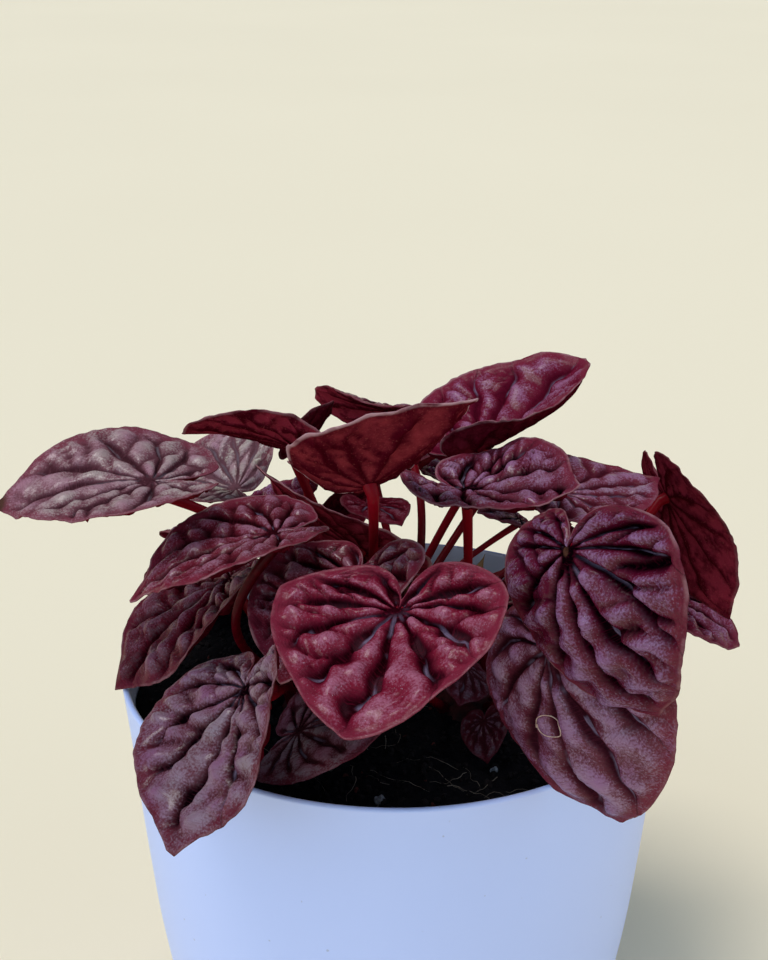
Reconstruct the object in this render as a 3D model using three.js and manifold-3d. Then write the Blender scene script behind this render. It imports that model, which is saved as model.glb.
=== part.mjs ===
// Ripple peperomia growing in a white plastic pot.
// Millimetres, +Z up. The origin is the centre of the pot's flat base, and +Y is the back of the plant.
// Every leaf is a heart-shaped, ribbed blade, carried from below by its own stalk.

import * as THREE from 'three';
import { mergeVertices } from 'three/addons/utils/BufferGeometryUtils.js';
import Module from 'manifold-3d';

const wasm = await Module();
wasm.setup();

// ---------------------------------------------------------------- sizes

const RIM_HEIGHT = 108;
const RIM_RADIUS = 59.2;
const WALL = 1.4;
const FLOOR = 2.5;
const LIP = 0.4;
const FOOT_RADIUS = 46.5;
const FOOT_ROUND = 5;
const FOOT_STEPS = 3;
// The pot's outer radius and its height, up its gently bellied side.
const POT_SIDE = [[52.9, 38], [55.6, 62], [57.9, 93]];
const POT_SIDES = 40;

const GAP = 0.3;
const SOIL_TOP = 98.5;
const SOIL_RELIEF = 0.6;
const SOIL_RINGS = 6;

const CROWNS = { left: [-17, -6], right: [16, -6], back: [0, 18] };
const CROWN_RADIUS = 8.3;
const CROWN_DEPTH = 18;
const CROWN_RISE = 4;
const CROWN_SIDES = 14;

const STALK_RADIUS = 1;
const YOUNG_STALK_RADIUS = 0.7;
const STALK_SIDES = 6;
const STALK_STEPS = 8;
const STALK_START = 98;
const STALK_SEAT_GAP = 0.5;
const STALK_LEAN = 0.1;
const STALK_RISE = 0.55;

const BLADE_HALF = 0.4;
const RIB_HEIGHT = 0.038;
const YOUNG_LENGTH = 16;
// Distance from the stalk's seat to the margin, over the distance to the tip, by the angle from the tip.
const HEART = [
  [0, 1], [14, 0.875], [28, 0.765], [45, 0.685], [63, 0.643], [80, 0.62],
  [98, 0.604], [115, 0.592], [132, 0.56], [147, 0.51], [161, 0.425], [180, 0.11],
];
const HEART_HALF_WIDTH = 0.61;
const KEEL_ROUND = 0.06;
const RINGS = [0.36, 0.7, 1];
const RIB_AT_RING = [0.75, 1, 0.55];

// ---------------------------------------------------------------- leaves, placed by hand
// at: where the stalk joins the blade. heading, pitch and roll: the way the tip points, in degrees.
// length: stalk to tip. half: half width over length. back: how far the lobes reach behind the stalk.
// bend: how far the tip curls down. lobes: how far the lobes curl up. twist: turn along the midrib.
// root and knee: where the stalk leaves its crown, and the point that it bends towards.

const PLAIN_LEAF = { bend: 30, lobes: 10, cup: 0.1, fold: 0.1, twist: 0, back: 0.95, half: 0.6 };

const LEAVES = [
  {
    name: 'leaf_left_silver', tone: 'silver', crown: 'left', root: [-12, -3], knee: [-16, -3, 136],
    at: [-48, -16, 155], heading: -174, pitch: 5, roll: 2, length: 32,
    bend: 25, cup: 0.05, fold: 0.15, twist: 20,
  },
  {
    name: 'leaf_left_middle', tone: 'wine', crown: 'left', root: [-22, -7], knee: [-43, -33, 124],
    at: [-23, -30, 150], heading: -167, pitch: -7, roll: -8, length: 31,
    bend: 25, lobes: 0, cup: 0.05, fold: 0.15, twist: 10, back: 0.7,
  },
  {
    name: 'leaf_left_low', tone: 'wine', crown: 'left', root: [-22, -6], knee: [-28, -5, 115],
    at: [-35, -4, 128], heading: -159, pitch: -25, roll: -19, length: 34,
    bend: 25, lobes: 0, cup: 0.15, fold: -0.05, twist: 35, back: 0.55, half: 0.62,
  },
  {
    name: 'leaf_front_left_hanging', tone: 'burgundy', crown: 'left',
    root: [-22, -6], knee: [-22, -47, 122],
    at: [-27, -55, 131], heading: -122, pitch: -41, roll: -37, length: 32,
    bend: 5, lobes: -20, fold: 0.15, twist: 35, back: 0.55, half: 0.68,
  },
  {
    name: 'leaf_low_brown', tone: 'wine', crown: 'left', root: [-15, -11], knee: [-17, -29, 104],
    at: [-19, -34, 109], heading: -28, pitch: 31, roll: -24, length: 22,
    bend: 25, lobes: -5, cup: 0.05, fold: 0, twist: -15,
  },
  {
    name: 'leaf_left_cupped', tone: 'silver', crown: 'left', root: [-17, -6], knee: [-18, -2, 119],
    at: [-36, 24, 137], heading: 142, pitch: 4, roll: 20, length: 21,
    bend: -10, lobes: 25, cup: -0.15, fold: 0.7, twist: 5, back: 0.75, half: 0.66,
  },
  {
    name: 'leaf_left_upturned', tone: 'wine', crown: 'back', root: [-5, 20], knee: [-10, 17, 116],
    at: [-21, 11, 152], heading: 167, pitch: 22, roll: -38, length: 25,
    bend: 35, lobes: -10, cup: 0.2, fold: 0.05, twist: 5, back: 0.8,
  },
  {
    name: 'leaf_centre_leaning', tone: 'wine', crown: 'left', root: [-15, -3], knee: [-10, -3, 122],
    at: [-7, -2, 134], heading: 178, pitch: 36, roll: -42, length: 29,
    bend: -10, lobes: 5, cup: 0.15, fold: -0.1, twist: 20, back: 1.05,
  },
  {
    name: 'leaf_top_folded', tone: 'wine', crown: 'back', root: [5, 20], knee: [11, 20, 138],
    at: [0, 44, 149], heading: 144, pitch: -6, roll: -33, length: 24,
    bend: -5, lobes: 30, cup: -0.1, fold: -0.1, twist: -25,
  },
  {
    name: 'leaf_centre_boat', tone: 'wine', crown: 'back', root: [-5, 15], knee: [-4, -32, 148],
    at: [-5, -37, 163], heading: -28, pitch: 41, roll: 26, length: 29,
    bend: -5, lobes: 60, cup: -0.15, fold: 0.55, twist: -10, back: 0.85, half: 0.58,
  },
  {
    name: 'leaf_front_inner', tone: 'wine', crown: 'left', root: [-13, -10], knee: [-11, -19, 122],
    at: [-8, -28, 140], heading: -124, pitch: -20, roll: -15, length: 28,
    bend: 10, lobes: 45, cup: 0.15, fold: 0.15, twist: 10, back: 0.7, half: 0.7,
  },
  {
    name: 'leaf_front_centre', tone: 'burgundy', crown: 'right', root: [11, -8], knee: [6, -34, 111],
    at: [0, -62, 150], heading: -108, pitch: -21, roll: -8, length: 28,
    bend: -5, lobes: 60, fold: 0.15, twist: 15, back: 0.75, half: 0.73,
  },
  {
    name: 'leaf_top_right', tone: 'burgundy', crown: 'back', root: [0, 15], knee: [9, 16, 128],
    at: [19, 14, 151], heading: 35, pitch: 20, roll: 13, length: 33,
    bend: -10, lobes: 60, cup: -0.1, fold: 0.55, twist: -15, back: 1.1,
  },
  {
    name: 'leaf_centre_right', tone: 'burgundy', crown: 'right', root: [14, -1], knee: [17, 3, 116],
    at: [14, -13, 152], heading: -36, pitch: 10, roll: 0, length: 27,
    bend: -10, lobes: 50, fold: 0.25, twist: -25, half: 0.61,
  },
  {
    name: 'leaf_right', tone: 'burgundy', crown: 'right', root: [19, -1], knee: [28, -2, 140],
    at: [34, -5, 148], heading: 28, pitch: -5, roll: -9, length: 26,
    bend: -5, lobes: 15, fold: 0.05, twist: 5,
  },
  {
    name: 'leaf_far_right_turned', tone: 'wine', crown: 'right', root: [21, -4], knee: [39, 4, 113],
    at: [61, 17, 138], heading: -38, pitch: -59, roll: 51, length: 31,
    bend: -5, fold: 0, twist: 25, half: 0.61,
  },
  {
    name: 'leaf_far_right_low', tone: 'burgundy', crown: 'right', root: [18, -4], knee: [41, 15, 107],
    at: [61, 21, 113], heading: -15, pitch: -21, roll: 1, length: 23,
    bend: 20, lobes: 45, cup: -0.05, twist: -10, back: 0.9,
  },
  {
    name: 'leaf_front_right', tone: 'burgundy', crown: 'right', root: [21, -9], knee: [53, -34, 118],
    at: [27, -72, 166], heading: -101, pitch: -63, roll: -54, length: 35,
    bend: 75, lobes: -30, cup: -0.1, fold: -0.1, twist: 10, back: 0.5, half: 0.7,
  },
  {
    name: 'leaf_front_right_hanging', tone: 'burgundy', crown: 'right',
    root: [19, -8], knee: [38, -34, 110],
    at: [27, -55, 139], heading: -99, pitch: -66, roll: -53, length: 38,
    bend: 60, lobes: -45, cup: -0.15, fold: -0.1, twist: 20, back: 0.55, half: 0.7,
  },
  {
    name: 'leaf_back_left', tone: 'burgundy', crown: 'left', root: [-17, -6], knee: [-25, 15, 116],
    at: [-34, 34, 126], heading: 135, pitch: -15, roll: 4, length: 32, back: 0.85,
  },
  {
    name: 'leaf_back_left_low', tone: 'wine', crown: 'left', root: [-16, -3], knee: [-28, 12, 105],
    at: [-43, 34, 115], heading: 140, pitch: -37, roll: -10, length: 26, bend: 40,
  },
  {
    name: 'leaf_back_centre', tone: 'silver', crown: 'back', root: [3, 23], knee: [0, 34, 116],
    at: [-5, 45, 133], heading: 97, pitch: -13, roll: 7, length: 33, bend: 25, fold: 0.2,
  },
  {
    name: 'leaf_back_centre_right', tone: 'burgundy', crown: 'back', root: [1, 23], knee: [12, 37, 114],
    at: [23, 49, 129], heading: 80, pitch: -4, roll: -3, length: 28,
  },
  {
    name: 'leaf_back_right', tone: 'burgundy', crown: 'back', root: [3, 21], knee: [26, 36, 106],
    at: [42, 47, 123], heading: 46, pitch: -12, roll: 10, length: 32, bend: 35, fold: 0.2,
  },
  {
    name: 'leaf_back_right_low', tone: 'wine', crown: 'back', root: [4, 21], knee: [13, 38, 108],
    at: [50, 48, 113], heading: 42, pitch: -38, roll: 0, length: 27, bend: 50, lobes: -30, back: 0.55,
  },
  {
    name: 'leaf_back_hanging', tone: 'burgundy', crown: 'back', root: [2, 23], knee: [-10, 41, 104],
    at: [-20, 61, 114], heading: 106, pitch: -48, roll: 4, length: 29,
  },
  {
    name: 'leaf_back_small_left', tone: 'wine', crown: 'back', root: [-3, 21], knee: [-9, 24, 107],
    at: [-16, 26, 110], heading: 120, pitch: -5, roll: 0, length: 20,
  },
  {
    name: 'leaf_back_small_right', tone: 'wine', crown: 'back', root: [5, 19], knee: [17, 21, 105],
    at: [24, 20, 112], heading: 30, pitch: -5, roll: 10, length: 22,
  },
  {
    name: 'leaf_young_soil_front', tone: 'wine', crown: 'right', root: [16, -11], knee: [18, -24, 105],
    at: [18, -27, 107], heading: -96, pitch: -22, roll: -21, length: 9,
    bend: 40, lobes: -10, cup: 0.05, fold: 0, twist: 5, half: 0.56,
  },
  {
    name: 'leaf_young_soil_right', tone: 'wine', crown: 'right', root: [14, -8], knee: [14, -8, 106],
    at: [15, -8, 109], heading: -92, pitch: -4, roll: 31, length: 12,
    bend: 25, lobes: 5, cup: 0, fold: -0.1, twist: -10,
  },
  {
    name: 'leaf_young_right', tone: 'wine', crown: 'back', root: [0, 18], knee: [8, 22, 115],
    at: [29, 27, 128], heading: -147, pitch: 34, roll: 9, length: 13, bend: 25, cup: 0.05, fold: 0.05,
  },
  {
    name: 'leaf_young_red', tone: 'wine', crown: 'back', root: [-1, 23], knee: [-3, 24, 118],
    at: [-5, 26, 132], heading: -58, pitch: 5, roll: 7, length: 13,
    bend: 10, lobes: 20, cup: 0.05, twist: -15,
  },
  {
    name: 'leaf_young_upright', tone: 'wine', crown: 'left', root: [-21, -2], knee: [-19, 17, 128],
    at: [-22, 39, 143], heading: 7, pitch: 57, roll: 32, length: 13, bend: 15, lobes: 5, twist: 10,
  },
].map((leaf) => ({ ...PLAIN_LEAF, ...leaf }));

// ---------------------------------------------------------------- materials

const FINISHES = {
  pot: { color: '#dfe4ee', roughness: 0.45 },
  soil: { color: '#2a2523', roughness: 0.95 },
  stalk: { color: '#8e2038', roughness: 0.4 },
  burgundy: { color: '#6d3a4b', roughness: 0.5 },
  wine: { color: '#4a2029', roughness: 0.45 },
  silver: { color: '#8d7a7e', roughness: 0.55 },
};
const MATERIALS = Object.fromEntries(
  Object.entries(FINISHES).map(([name, finish]) => [name, new THREE.MeshStandardMaterial(finish)]),
);

// ---------------------------------------------------------------- helpers

const radians = THREE.MathUtils.degToRad;

function namedMesh(name, geometry, material) {
  const mesh = new THREE.Mesh(geometry, material);
  mesh.name = name;
  return mesh;
}

function toSolid(geometry) {
  const bare = geometry.clone();
  bare.deleteAttribute('normal');
  bare.deleteAttribute('uv');
  const merged = mergeVertices(bare, 1e-4);
  const vertProperties = new Float32Array(merged.attributes.position.array);
  const triVerts = new Uint32Array(merged.index.array);
  return new wasm.Manifold(new wasm.Mesh({ numProp: 3, vertProperties, triVerts }));
}

function toGeometry(solid) {
  const { vertProperties, triVerts } = solid.getMesh();
  const geometry = new THREE.BufferGeometry();
  geometry.setAttribute('position', new THREE.BufferAttribute(new Float32Array(vertProperties), 3));
  geometry.setIndex(new THREE.BufferAttribute(new Uint32Array(triVerts), 1));
  geometry.computeVertexNormals();
  return geometry;
}

// A lathe turns about Y, so it is stood up on Z.
function turned(points, sides) {
  const profile = points.map(([radius, height]) => new THREE.Vector2(radius, height));
  return new THREE.LatheGeometry(profile, sides).rotateX(Math.PI / 2);
}

// ---------------------------------------------------------------- pot

// The side's profile from the rounded foot up, moved in from the pot's outer skin, standing on base.
function sideProfile(inset, base) {
  const points = [];
  for (let step = 0; step <= FOOT_STEPS; step += 1) {
    const angle = (step / FOOT_STEPS) * (Math.PI / 2);
    const radius = FOOT_RADIUS - inset - FOOT_ROUND * (1 - Math.sin(angle));
    points.push([radius, base + FOOT_ROUND * (1 - Math.cos(angle))]);
  }
  return [...points, ...POT_SIDE.map(([radius, height]) => [radius - inset, height])];
}

function buildPot() {
  const outside = [
    ...sideProfile(0, 0),
    [RIM_RADIUS, RIM_HEIGHT - LIP],
    [RIM_RADIUS - LIP, RIM_HEIGHT],
  ];
  const inside = [
    ...sideProfile(WALL, FLOOR),
    [RIM_RADIUS - WALL, RIM_HEIGHT - LIP],
    [RIM_RADIUS - WALL + LIP, RIM_HEIGHT],
  ].reverse();
  return namedMesh('pot', turned([[0, 0], ...outside, ...inside, [0, FLOOR]], POT_SIDES), MATERIALS.pot);
}

// ---------------------------------------------------------------- soil

function soilRelief(x, y) {
  const mounds = Math.sin(0.21 * x + 1.1) * Math.cos(0.17 * y - 0.4);
  const crumbs = Math.sin(0.43 * x - 0.31 * y);
  return SOIL_RELIEF * (0.65 * mounds + 0.35 * crumbs);
}

function buildSoil() {
  const side = sideProfile(WALL + GAP, FLOOR + GAP);
  const [topRadius] = side.at(-1);
  const top = [];
  for (let ring = SOIL_RINGS; ring >= 0; ring -= 1) {
    top.push([(topRadius * ring) / SOIL_RINGS, SOIL_TOP]);
  }
  const geometry = turned([[0, FLOOR + GAP], ...side, ...top], POT_SIDES);
  const position = geometry.attributes.position;
  for (let index = 0; index < position.count; index += 1) {
    if (position.getZ(index) > SOIL_TOP - GAP) {
      position.setZ(index, SOIL_TOP + soilRelief(position.getX(index), position.getY(index)));
    }
  }
  let solid = toSolid(geometry);
  for (const [x, y] of Object.values(CROWNS)) {
    const holeRadius = CROWN_RADIUS + GAP;
    const holeFloor = SOIL_TOP - CROWN_DEPTH - GAP;
    const holeTop = SOIL_TOP + CROWN_RISE;
    const hole = turned(
      [[0, holeFloor], [holeRadius, holeFloor], [holeRadius, holeTop], [0, holeTop]],
      CROWN_SIDES,
    ).translate(x, y, 0);
    solid = solid.subtract(toSolid(hole));
  }
  return namedMesh('soil', toGeometry(solid), MATERIALS.soil);
}

// ---------------------------------------------------------------- leaf blades

// The rays run out from the stalk's seat. They are veins and ribs by turns, first down the right half.
function bladeRays() {
  const right = HEART.map(([degrees, reach], index) => ({
    angle: radians(degrees),
    reach,
    lift: index % 2 === 0 ? -0.5 : 0.5,
  }));
  const left = right.slice(1, -1).reverse().map((ray) => ({ ...ray, angle: -ray.angle }));
  return [...right, ...left];
}

// A point of the blade's middle surface in the leaf's own frame: X to its right, Y to the tip, Z up.
// The heart is dished and folded along the midrib, curled at the tip and the lobes, then twisted.
function bladePoint(leaf, share, ray, rib) {
  const radius = leaf.length * ray.reach * share;
  const across = radius * Math.sin(ray.angle) * (leaf.half / HEART_HALF_WIDTH);
  const forward = Math.cos(ray.angle) > 0;
  const along = radius * Math.cos(ray.angle) * (forward ? 1 : leaf.back);
  const keel = KEEL_ROUND * leaf.length;
  const dish = (leaf.cup * across * across) / leaf.length;
  const height = dish + leaf.fold * (Math.hypot(across, keel) - keel) + rib;

  const curl = forward ? radians(leaf.bend) / leaf.length : radians(leaf.lobes) / (leaf.length / 2);
  const side = forward ? -1 : 1;
  const slope = side * curl * along;
  const arcAlong = curl === 0 ? along : Math.sin(curl * along) / curl;
  const arcHeight = curl === 0 ? 0 : (side * (1 - Math.cos(curl * along))) / curl;

  const turn = (radians(leaf.twist) * along) / leaf.length;
  return new THREE.Vector3(
    across * Math.cos(turn),
    arcAlong - height * Math.sin(slope),
    arcHeight + height * Math.cos(slope) + across * Math.sin(turn),
  );
}

function middleSurface(leaf) {
  const rays = bladeRays();
  const points = [bladePoint(leaf, 0, rays[0], 0)];
  RINGS.forEach((share, ring) => {
    const height = RIB_HEIGHT * leaf.length * RIB_AT_RING[ring];
    rays.forEach((ray) => points.push(bladePoint(leaf, share, ray, height * ray.lift)));
  });
  const at = (ring, ray) => 1 + ring * rays.length + (ray % rays.length);
  const faces = [];
  rays.forEach((_, ray) => {
    faces.push([0, at(0, ray + 1), at(0, ray)]);
    for (let ring = 1; ring < RINGS.length; ring += 1) {
      faces.push([at(ring - 1, ray), at(ring - 1, ray + 1), at(ring, ray + 1)]);
      faces.push([at(ring - 1, ray), at(ring, ray + 1), at(ring, ray)]);
    }
  });
  const rim = rays.map((_, ray) => at(RINGS.length - 1, ray));
  return { points, faces, rim };
}

// Both faces have the middle surface's own triangles, half the blade's thickness above and below it.
function bladeGeometry(leaf) {
  const { points, faces, rim } = middleSurface(leaf);
  const middle = new THREE.BufferGeometry().setFromPoints(points);
  middle.setIndex(faces.flat());
  middle.computeVertexNormals();
  const normals = middle.attributes.normal;
  const offset = (distance) => points.map((point, index) => (
    new THREE.Vector3().fromBufferAttribute(normals, index).multiplyScalar(distance).add(point)
  ));
  const upper = offset(BLADE_HALF);
  const lower = offset(-BLADE_HALF);

  const below = points.length;
  const index = [...faces.flat(), ...faces.map(([a, b, c]) => [below + a, below + c, below + b]).flat()];
  rim.forEach((here, place) => {
    const next = rim[(place + 1) % rim.length];
    index.push(here, next, below + next);
    index.push(here, below + next, below + here);
  });
  const geometry = new THREE.BufferGeometry().setFromPoints([...upper, ...lower]);
  geometry.setIndex(index);
  geometry.computeVertexNormals();
  return geometry;
}

function leafTurn(leaf) {
  return new THREE.Euler(radians(leaf.pitch), -radians(leaf.roll), radians(leaf.heading - 90), 'ZXY');
}

function buildBlade(leaf) {
  const mesh = namedMesh(leaf.name, bladeGeometry(leaf), MATERIALS[leaf.tone]);
  mesh.position.set(...leaf.at);
  mesh.rotation.copy(leafTurn(leaf));
  return mesh;
}

// ---------------------------------------------------------------- crowns with their leaf stalks

// The stalk rises from the crown, bends towards the knee and ends just under the blade.
function stalkPath(leaf, radius) {
  const blade = new THREE.Vector3(...leaf.at);
  const knee = new THREE.Vector3(...leaf.knee);
  const upright = new THREE.Vector3(0, 0, 1).applyEuler(leafTurn(leaf));
  const tilt = upright.angleTo(blade.clone().sub(knee));
  const seat = blade.addScaledVector(upright, -(BLADE_HALF + STALK_SEAT_GAP + radius * Math.sin(tilt)));
  const start = new THREE.Vector3(...leaf.root, STALK_START);
  const rise = start.clone().lerp(seat, STALK_LEAN).setZ(STALK_START + STALK_RISE * (knee.z - STALK_START));
  return new THREE.CubicBezierCurve3(start, rise, knee, seat);
}

function stalkGeometry(leaf) {
  const radius = leaf.length < YOUNG_LENGTH ? YOUNG_STALK_RADIUS : STALK_RADIUS;
  const corners = [];
  for (let side = 0; side < STALK_SIDES; side += 1) {
    const angle = (side / STALK_SIDES) * 2 * Math.PI;
    corners.push(new THREE.Vector2(radius * Math.cos(angle), radius * Math.sin(angle)));
  }
  return new THREE.ExtrudeGeometry(new THREE.Shape(corners), {
    steps: STALK_STEPS,
    bevelEnabled: false,
    extrudePath: stalkPath(leaf, radius),
  });
}

function buildCrown(side) {
  const [x, y] = CROWNS[side];
  const foot = SOIL_TOP - CROWN_DEPTH;
  const clump = turned(
    [
      [0, foot],
      [CROWN_RADIUS, foot],
      [CROWN_RADIUS, SOIL_TOP],
      [0.85 * CROWN_RADIUS, SOIL_TOP + 0.55 * CROWN_RISE],
      [0.5 * CROWN_RADIUS, SOIL_TOP + 0.9 * CROWN_RISE],
      [0, SOIL_TOP + CROWN_RISE],
    ],
    CROWN_SIDES,
  ).translate(x, y, 0);
  const stalks = LEAVES.filter((leaf) => leaf.crown === side).map((leaf) => toSolid(stalkGeometry(leaf)));
  const solid = stalks.reduce((grown, stalk) => grown.add(stalk), toSolid(clump));
  return namedMesh(`crown_${side}`, toGeometry(solid), MATERIALS.stalk);
}

// ---------------------------------------------------------------- the plant

const plant = new THREE.Group();
plant.add(...Object.keys(CROWNS).map(buildCrown));
plant.add(...LEAVES.map(buildBlade));

const pottedPlant = new THREE.Group();
pottedPlant.add(buildPot(), buildSoil(), plant);

export default pottedPlant;
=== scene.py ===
"""Ripple peperomia in a white plastic pot: quilted leaves on red stalks over dark, rooty soil.

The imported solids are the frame. Each one is replaced here by a finer piece of the same form.
"""

import math

import bmesh
import bpy
import numpy as np
from mathutils import Matrix, Vector
from mathutils.bvhtree import BVHTree


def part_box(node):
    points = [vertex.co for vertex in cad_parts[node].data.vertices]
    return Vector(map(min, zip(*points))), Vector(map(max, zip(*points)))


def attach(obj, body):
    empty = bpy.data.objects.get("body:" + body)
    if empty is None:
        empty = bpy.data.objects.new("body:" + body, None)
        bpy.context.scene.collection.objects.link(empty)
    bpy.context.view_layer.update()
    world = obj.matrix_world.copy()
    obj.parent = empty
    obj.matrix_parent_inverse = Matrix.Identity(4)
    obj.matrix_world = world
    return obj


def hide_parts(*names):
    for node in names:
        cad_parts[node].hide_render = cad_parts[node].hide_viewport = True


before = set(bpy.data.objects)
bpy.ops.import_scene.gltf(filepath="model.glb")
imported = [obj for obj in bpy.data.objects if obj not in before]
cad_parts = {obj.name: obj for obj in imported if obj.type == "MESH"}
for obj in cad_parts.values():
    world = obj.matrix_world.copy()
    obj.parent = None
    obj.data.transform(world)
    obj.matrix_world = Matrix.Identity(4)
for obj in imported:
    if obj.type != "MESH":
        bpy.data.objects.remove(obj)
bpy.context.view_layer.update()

# ---------------------------------------------------------------- sizes
# Lengths are in millimetres and angles in degrees. The rest are shares and counts.

MM = 0.001
TAU = 2 * math.pi

LEAF_SEED, SOIL_SEED, FIBRE_SEED, PERLITE_SEED = 11, 5, 21, 8

POT_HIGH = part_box("pot")[1] / MM
RIM_RADIUS = POT_HIGH.x
RIM_HEIGHT = POT_HIGH.z
WALL = 1.4
FLOOR = 2.5
LIP = 0.7
FOOT_RADIUS = 46.5
FOOT_ROUND = 5
# Height and outer radius, up the pot's gently bellied side.
POT_SIDE = ((38, 52.9), (50, 54.5), (62, 55.6), (78, 56.9), (93, 57.9))
POT_SIDES = 160
FOOT_STEPS, SIDE_STEPS, LIP_STEPS = 8, 26, 11

SOIL_TOP = 98.5
SOIL_GAP = 0.3
SOIL_RINGS, SOIL_COLUMNS = 84, 230
GROUND_RINGS, GROUND_COLUMNS = 30, 60
CRUMBS_REACH = 0.94
CRUMB_ROUGH = 0.9
# Scale of the noise that breaks the crumbs' shapes, in lumps a metre.
CRUMB_NOISE = 700.0
SOIL_RELIEF = 0.6

CROWNS = {"left": (-17, -6), "right": (16, -6), "back": (0, 18)}
CROWN_RADIUS = 8.3
CROWN_RISE = 4
MOUND_SINK = 1.5
MOUND_RINGS, MOUND_COLUMNS = 14, 48

STALK_RADIUS = 1.0
YOUNG_STALK_RADIUS = 0.7
YOUNG_LENGTH = 16
STALK_START = 98
STALK_LEAN = 0.1
STALK_RISE = 0.55
STALK_STEPS = 26
STALK_SIDES, SPROUT_SIDES, FIBRE_SIDES, HAIR_SIDES = 12, 10, 5, 6

BLADE_HALF = 0.36
EDGE_HALF = 0.13
EDGE_ROUND = 0.12
HEART_HALF_WIDTH = 0.61
KEEL_ROUND = 0.06
# Degrees from the tip, and the distance from the stalk's seat to the margin over that to the tip.
HEART = (
    (0, 1), (4, 0.952), (8, 0.915), (14, 0.868), (28, 0.765), (45, 0.688), (63, 0.643), (80, 0.62),
    (98, 0.604), (115, 0.592), (132, 0.56), (147, 0.51), (161, 0.425), (171, 0.29), (177, 0.15), (180, 0.11),
)
# The main veins of one half, by their angle from the tip.
VEINS = (0, 28, 63, 98, 132, 161)
VEIN_ARCH = 0.36
VEIN_STRAY = 6
TIP_FLANK, TIP_FLANK_WIDTH = 11, 9
COLUMN_GAP = 0.024
BLADE_RINGS = 58
RIM_STEPS = 60
# How much closer the blade's points stand beside the main veins.
FURROW_CROWDING = 0.09
SIDE_VEINS = 10
# Gaps between side veins over the leaf's length, and how deep they cut: beside the midrib, and elsewhere.
MIDRIB_GAPS, SIDE_GAPS = (0.18, 0.34), (0.11, 0.22)
MIDRIB_CUTS, SIDE_CUTS = (0.15, 0.5), (0.5, 1.0)
PUFF_LEVEL = 0.78
PUFF_ROUND, PUFF_STEEP = 2.2, 0.6
# The height that the finish takes the flat margin to have.
MARGIN_HEIGHT = 0.62
# Shares of the upper face's relief that the under face has.
UNDER_RIDGE, UNDER_FURROW = 0.4, 0.6
WRINKLE_GAP = 0.4
WRINKLE_WIDTH = 2.0
# How far apart in the noise two neighbouring strips take their wrinkles from.
STRIP_SHIFT = 10
YOUNG_DETAIL = 0.5
BACK_DETAIL = 0.66

# ---------------------------------------------------------------- leaves
# Each row gives a leaf's name, tone and crown; where its stalk leaves the crown, the point that it bends
# towards and where it joins the blade; heading, pitch and roll, the way the tip points, in degrees; and the
# length from stalk to tip. The rest is what sets the leaf apart from a plain one:
# bend: how far the tip curls down. lobes: how far the lobes curl up. twist: turn along the midrib.
# half: half width over length. back: how far the lobes reach behind the stalk.
# quilt: height of the puffed ridges over the length. floor: half width of the furrows' flat floors.
# cuts: how deep side veins cut the ridges. pucker: the gap between them, where 1 is usual.
# tip: how much the tip is drawn out. ruffle: waves of the margin over the length.
# rosy, pale: more crimson, or more bloom. shade: how dark the painted shade in the furrows is. gloss: wet
# sheen of the ridges.
# glow: how much painted light glows through the underside. rim: how pale the margin is. ripe: how far up the
# stalk its painted shade gives way to bright crimson.
# dim: how much darker the whole upper face is: painted shade for leaves that sit in shadow, and partly a
# darker tone.
# dried: brown spots, each with its place across and along the blade and its radius.

PLAIN_LEAF = dict(
    bend=30, lobes=10, cup=0.1, fold=0.1, twist=0, back=0.95, half=0.6, quilt=0.11, floor=0.4, tip=0.04,
    cuts=1.0, pucker=1.0, ruffle=0.006, rosy=0.0, pale=0.0, shade=1.0, gloss=0.6, glow=0.5, rim=0.15,
    ripe=1.0, dim=0.0, dried=(),
)


def plan(name, *places, **shape):
    """One leaf: a plain leaf, but for what its row says."""
    leaf = {"name": "leaf_" + name, **PLAIN_LEAF, **shape}
    leaf.update(zip(("tone", "crown", "root", "knee", "at", "turn", "length"), places))
    leaf["young"] = leaf["length"] < YOUNG_LENGTH
    leaf["detail"] = YOUNG_DETAIL if leaf["young"] else BACK_DETAIL if "back" in name else 1.0
    return leaf


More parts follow.
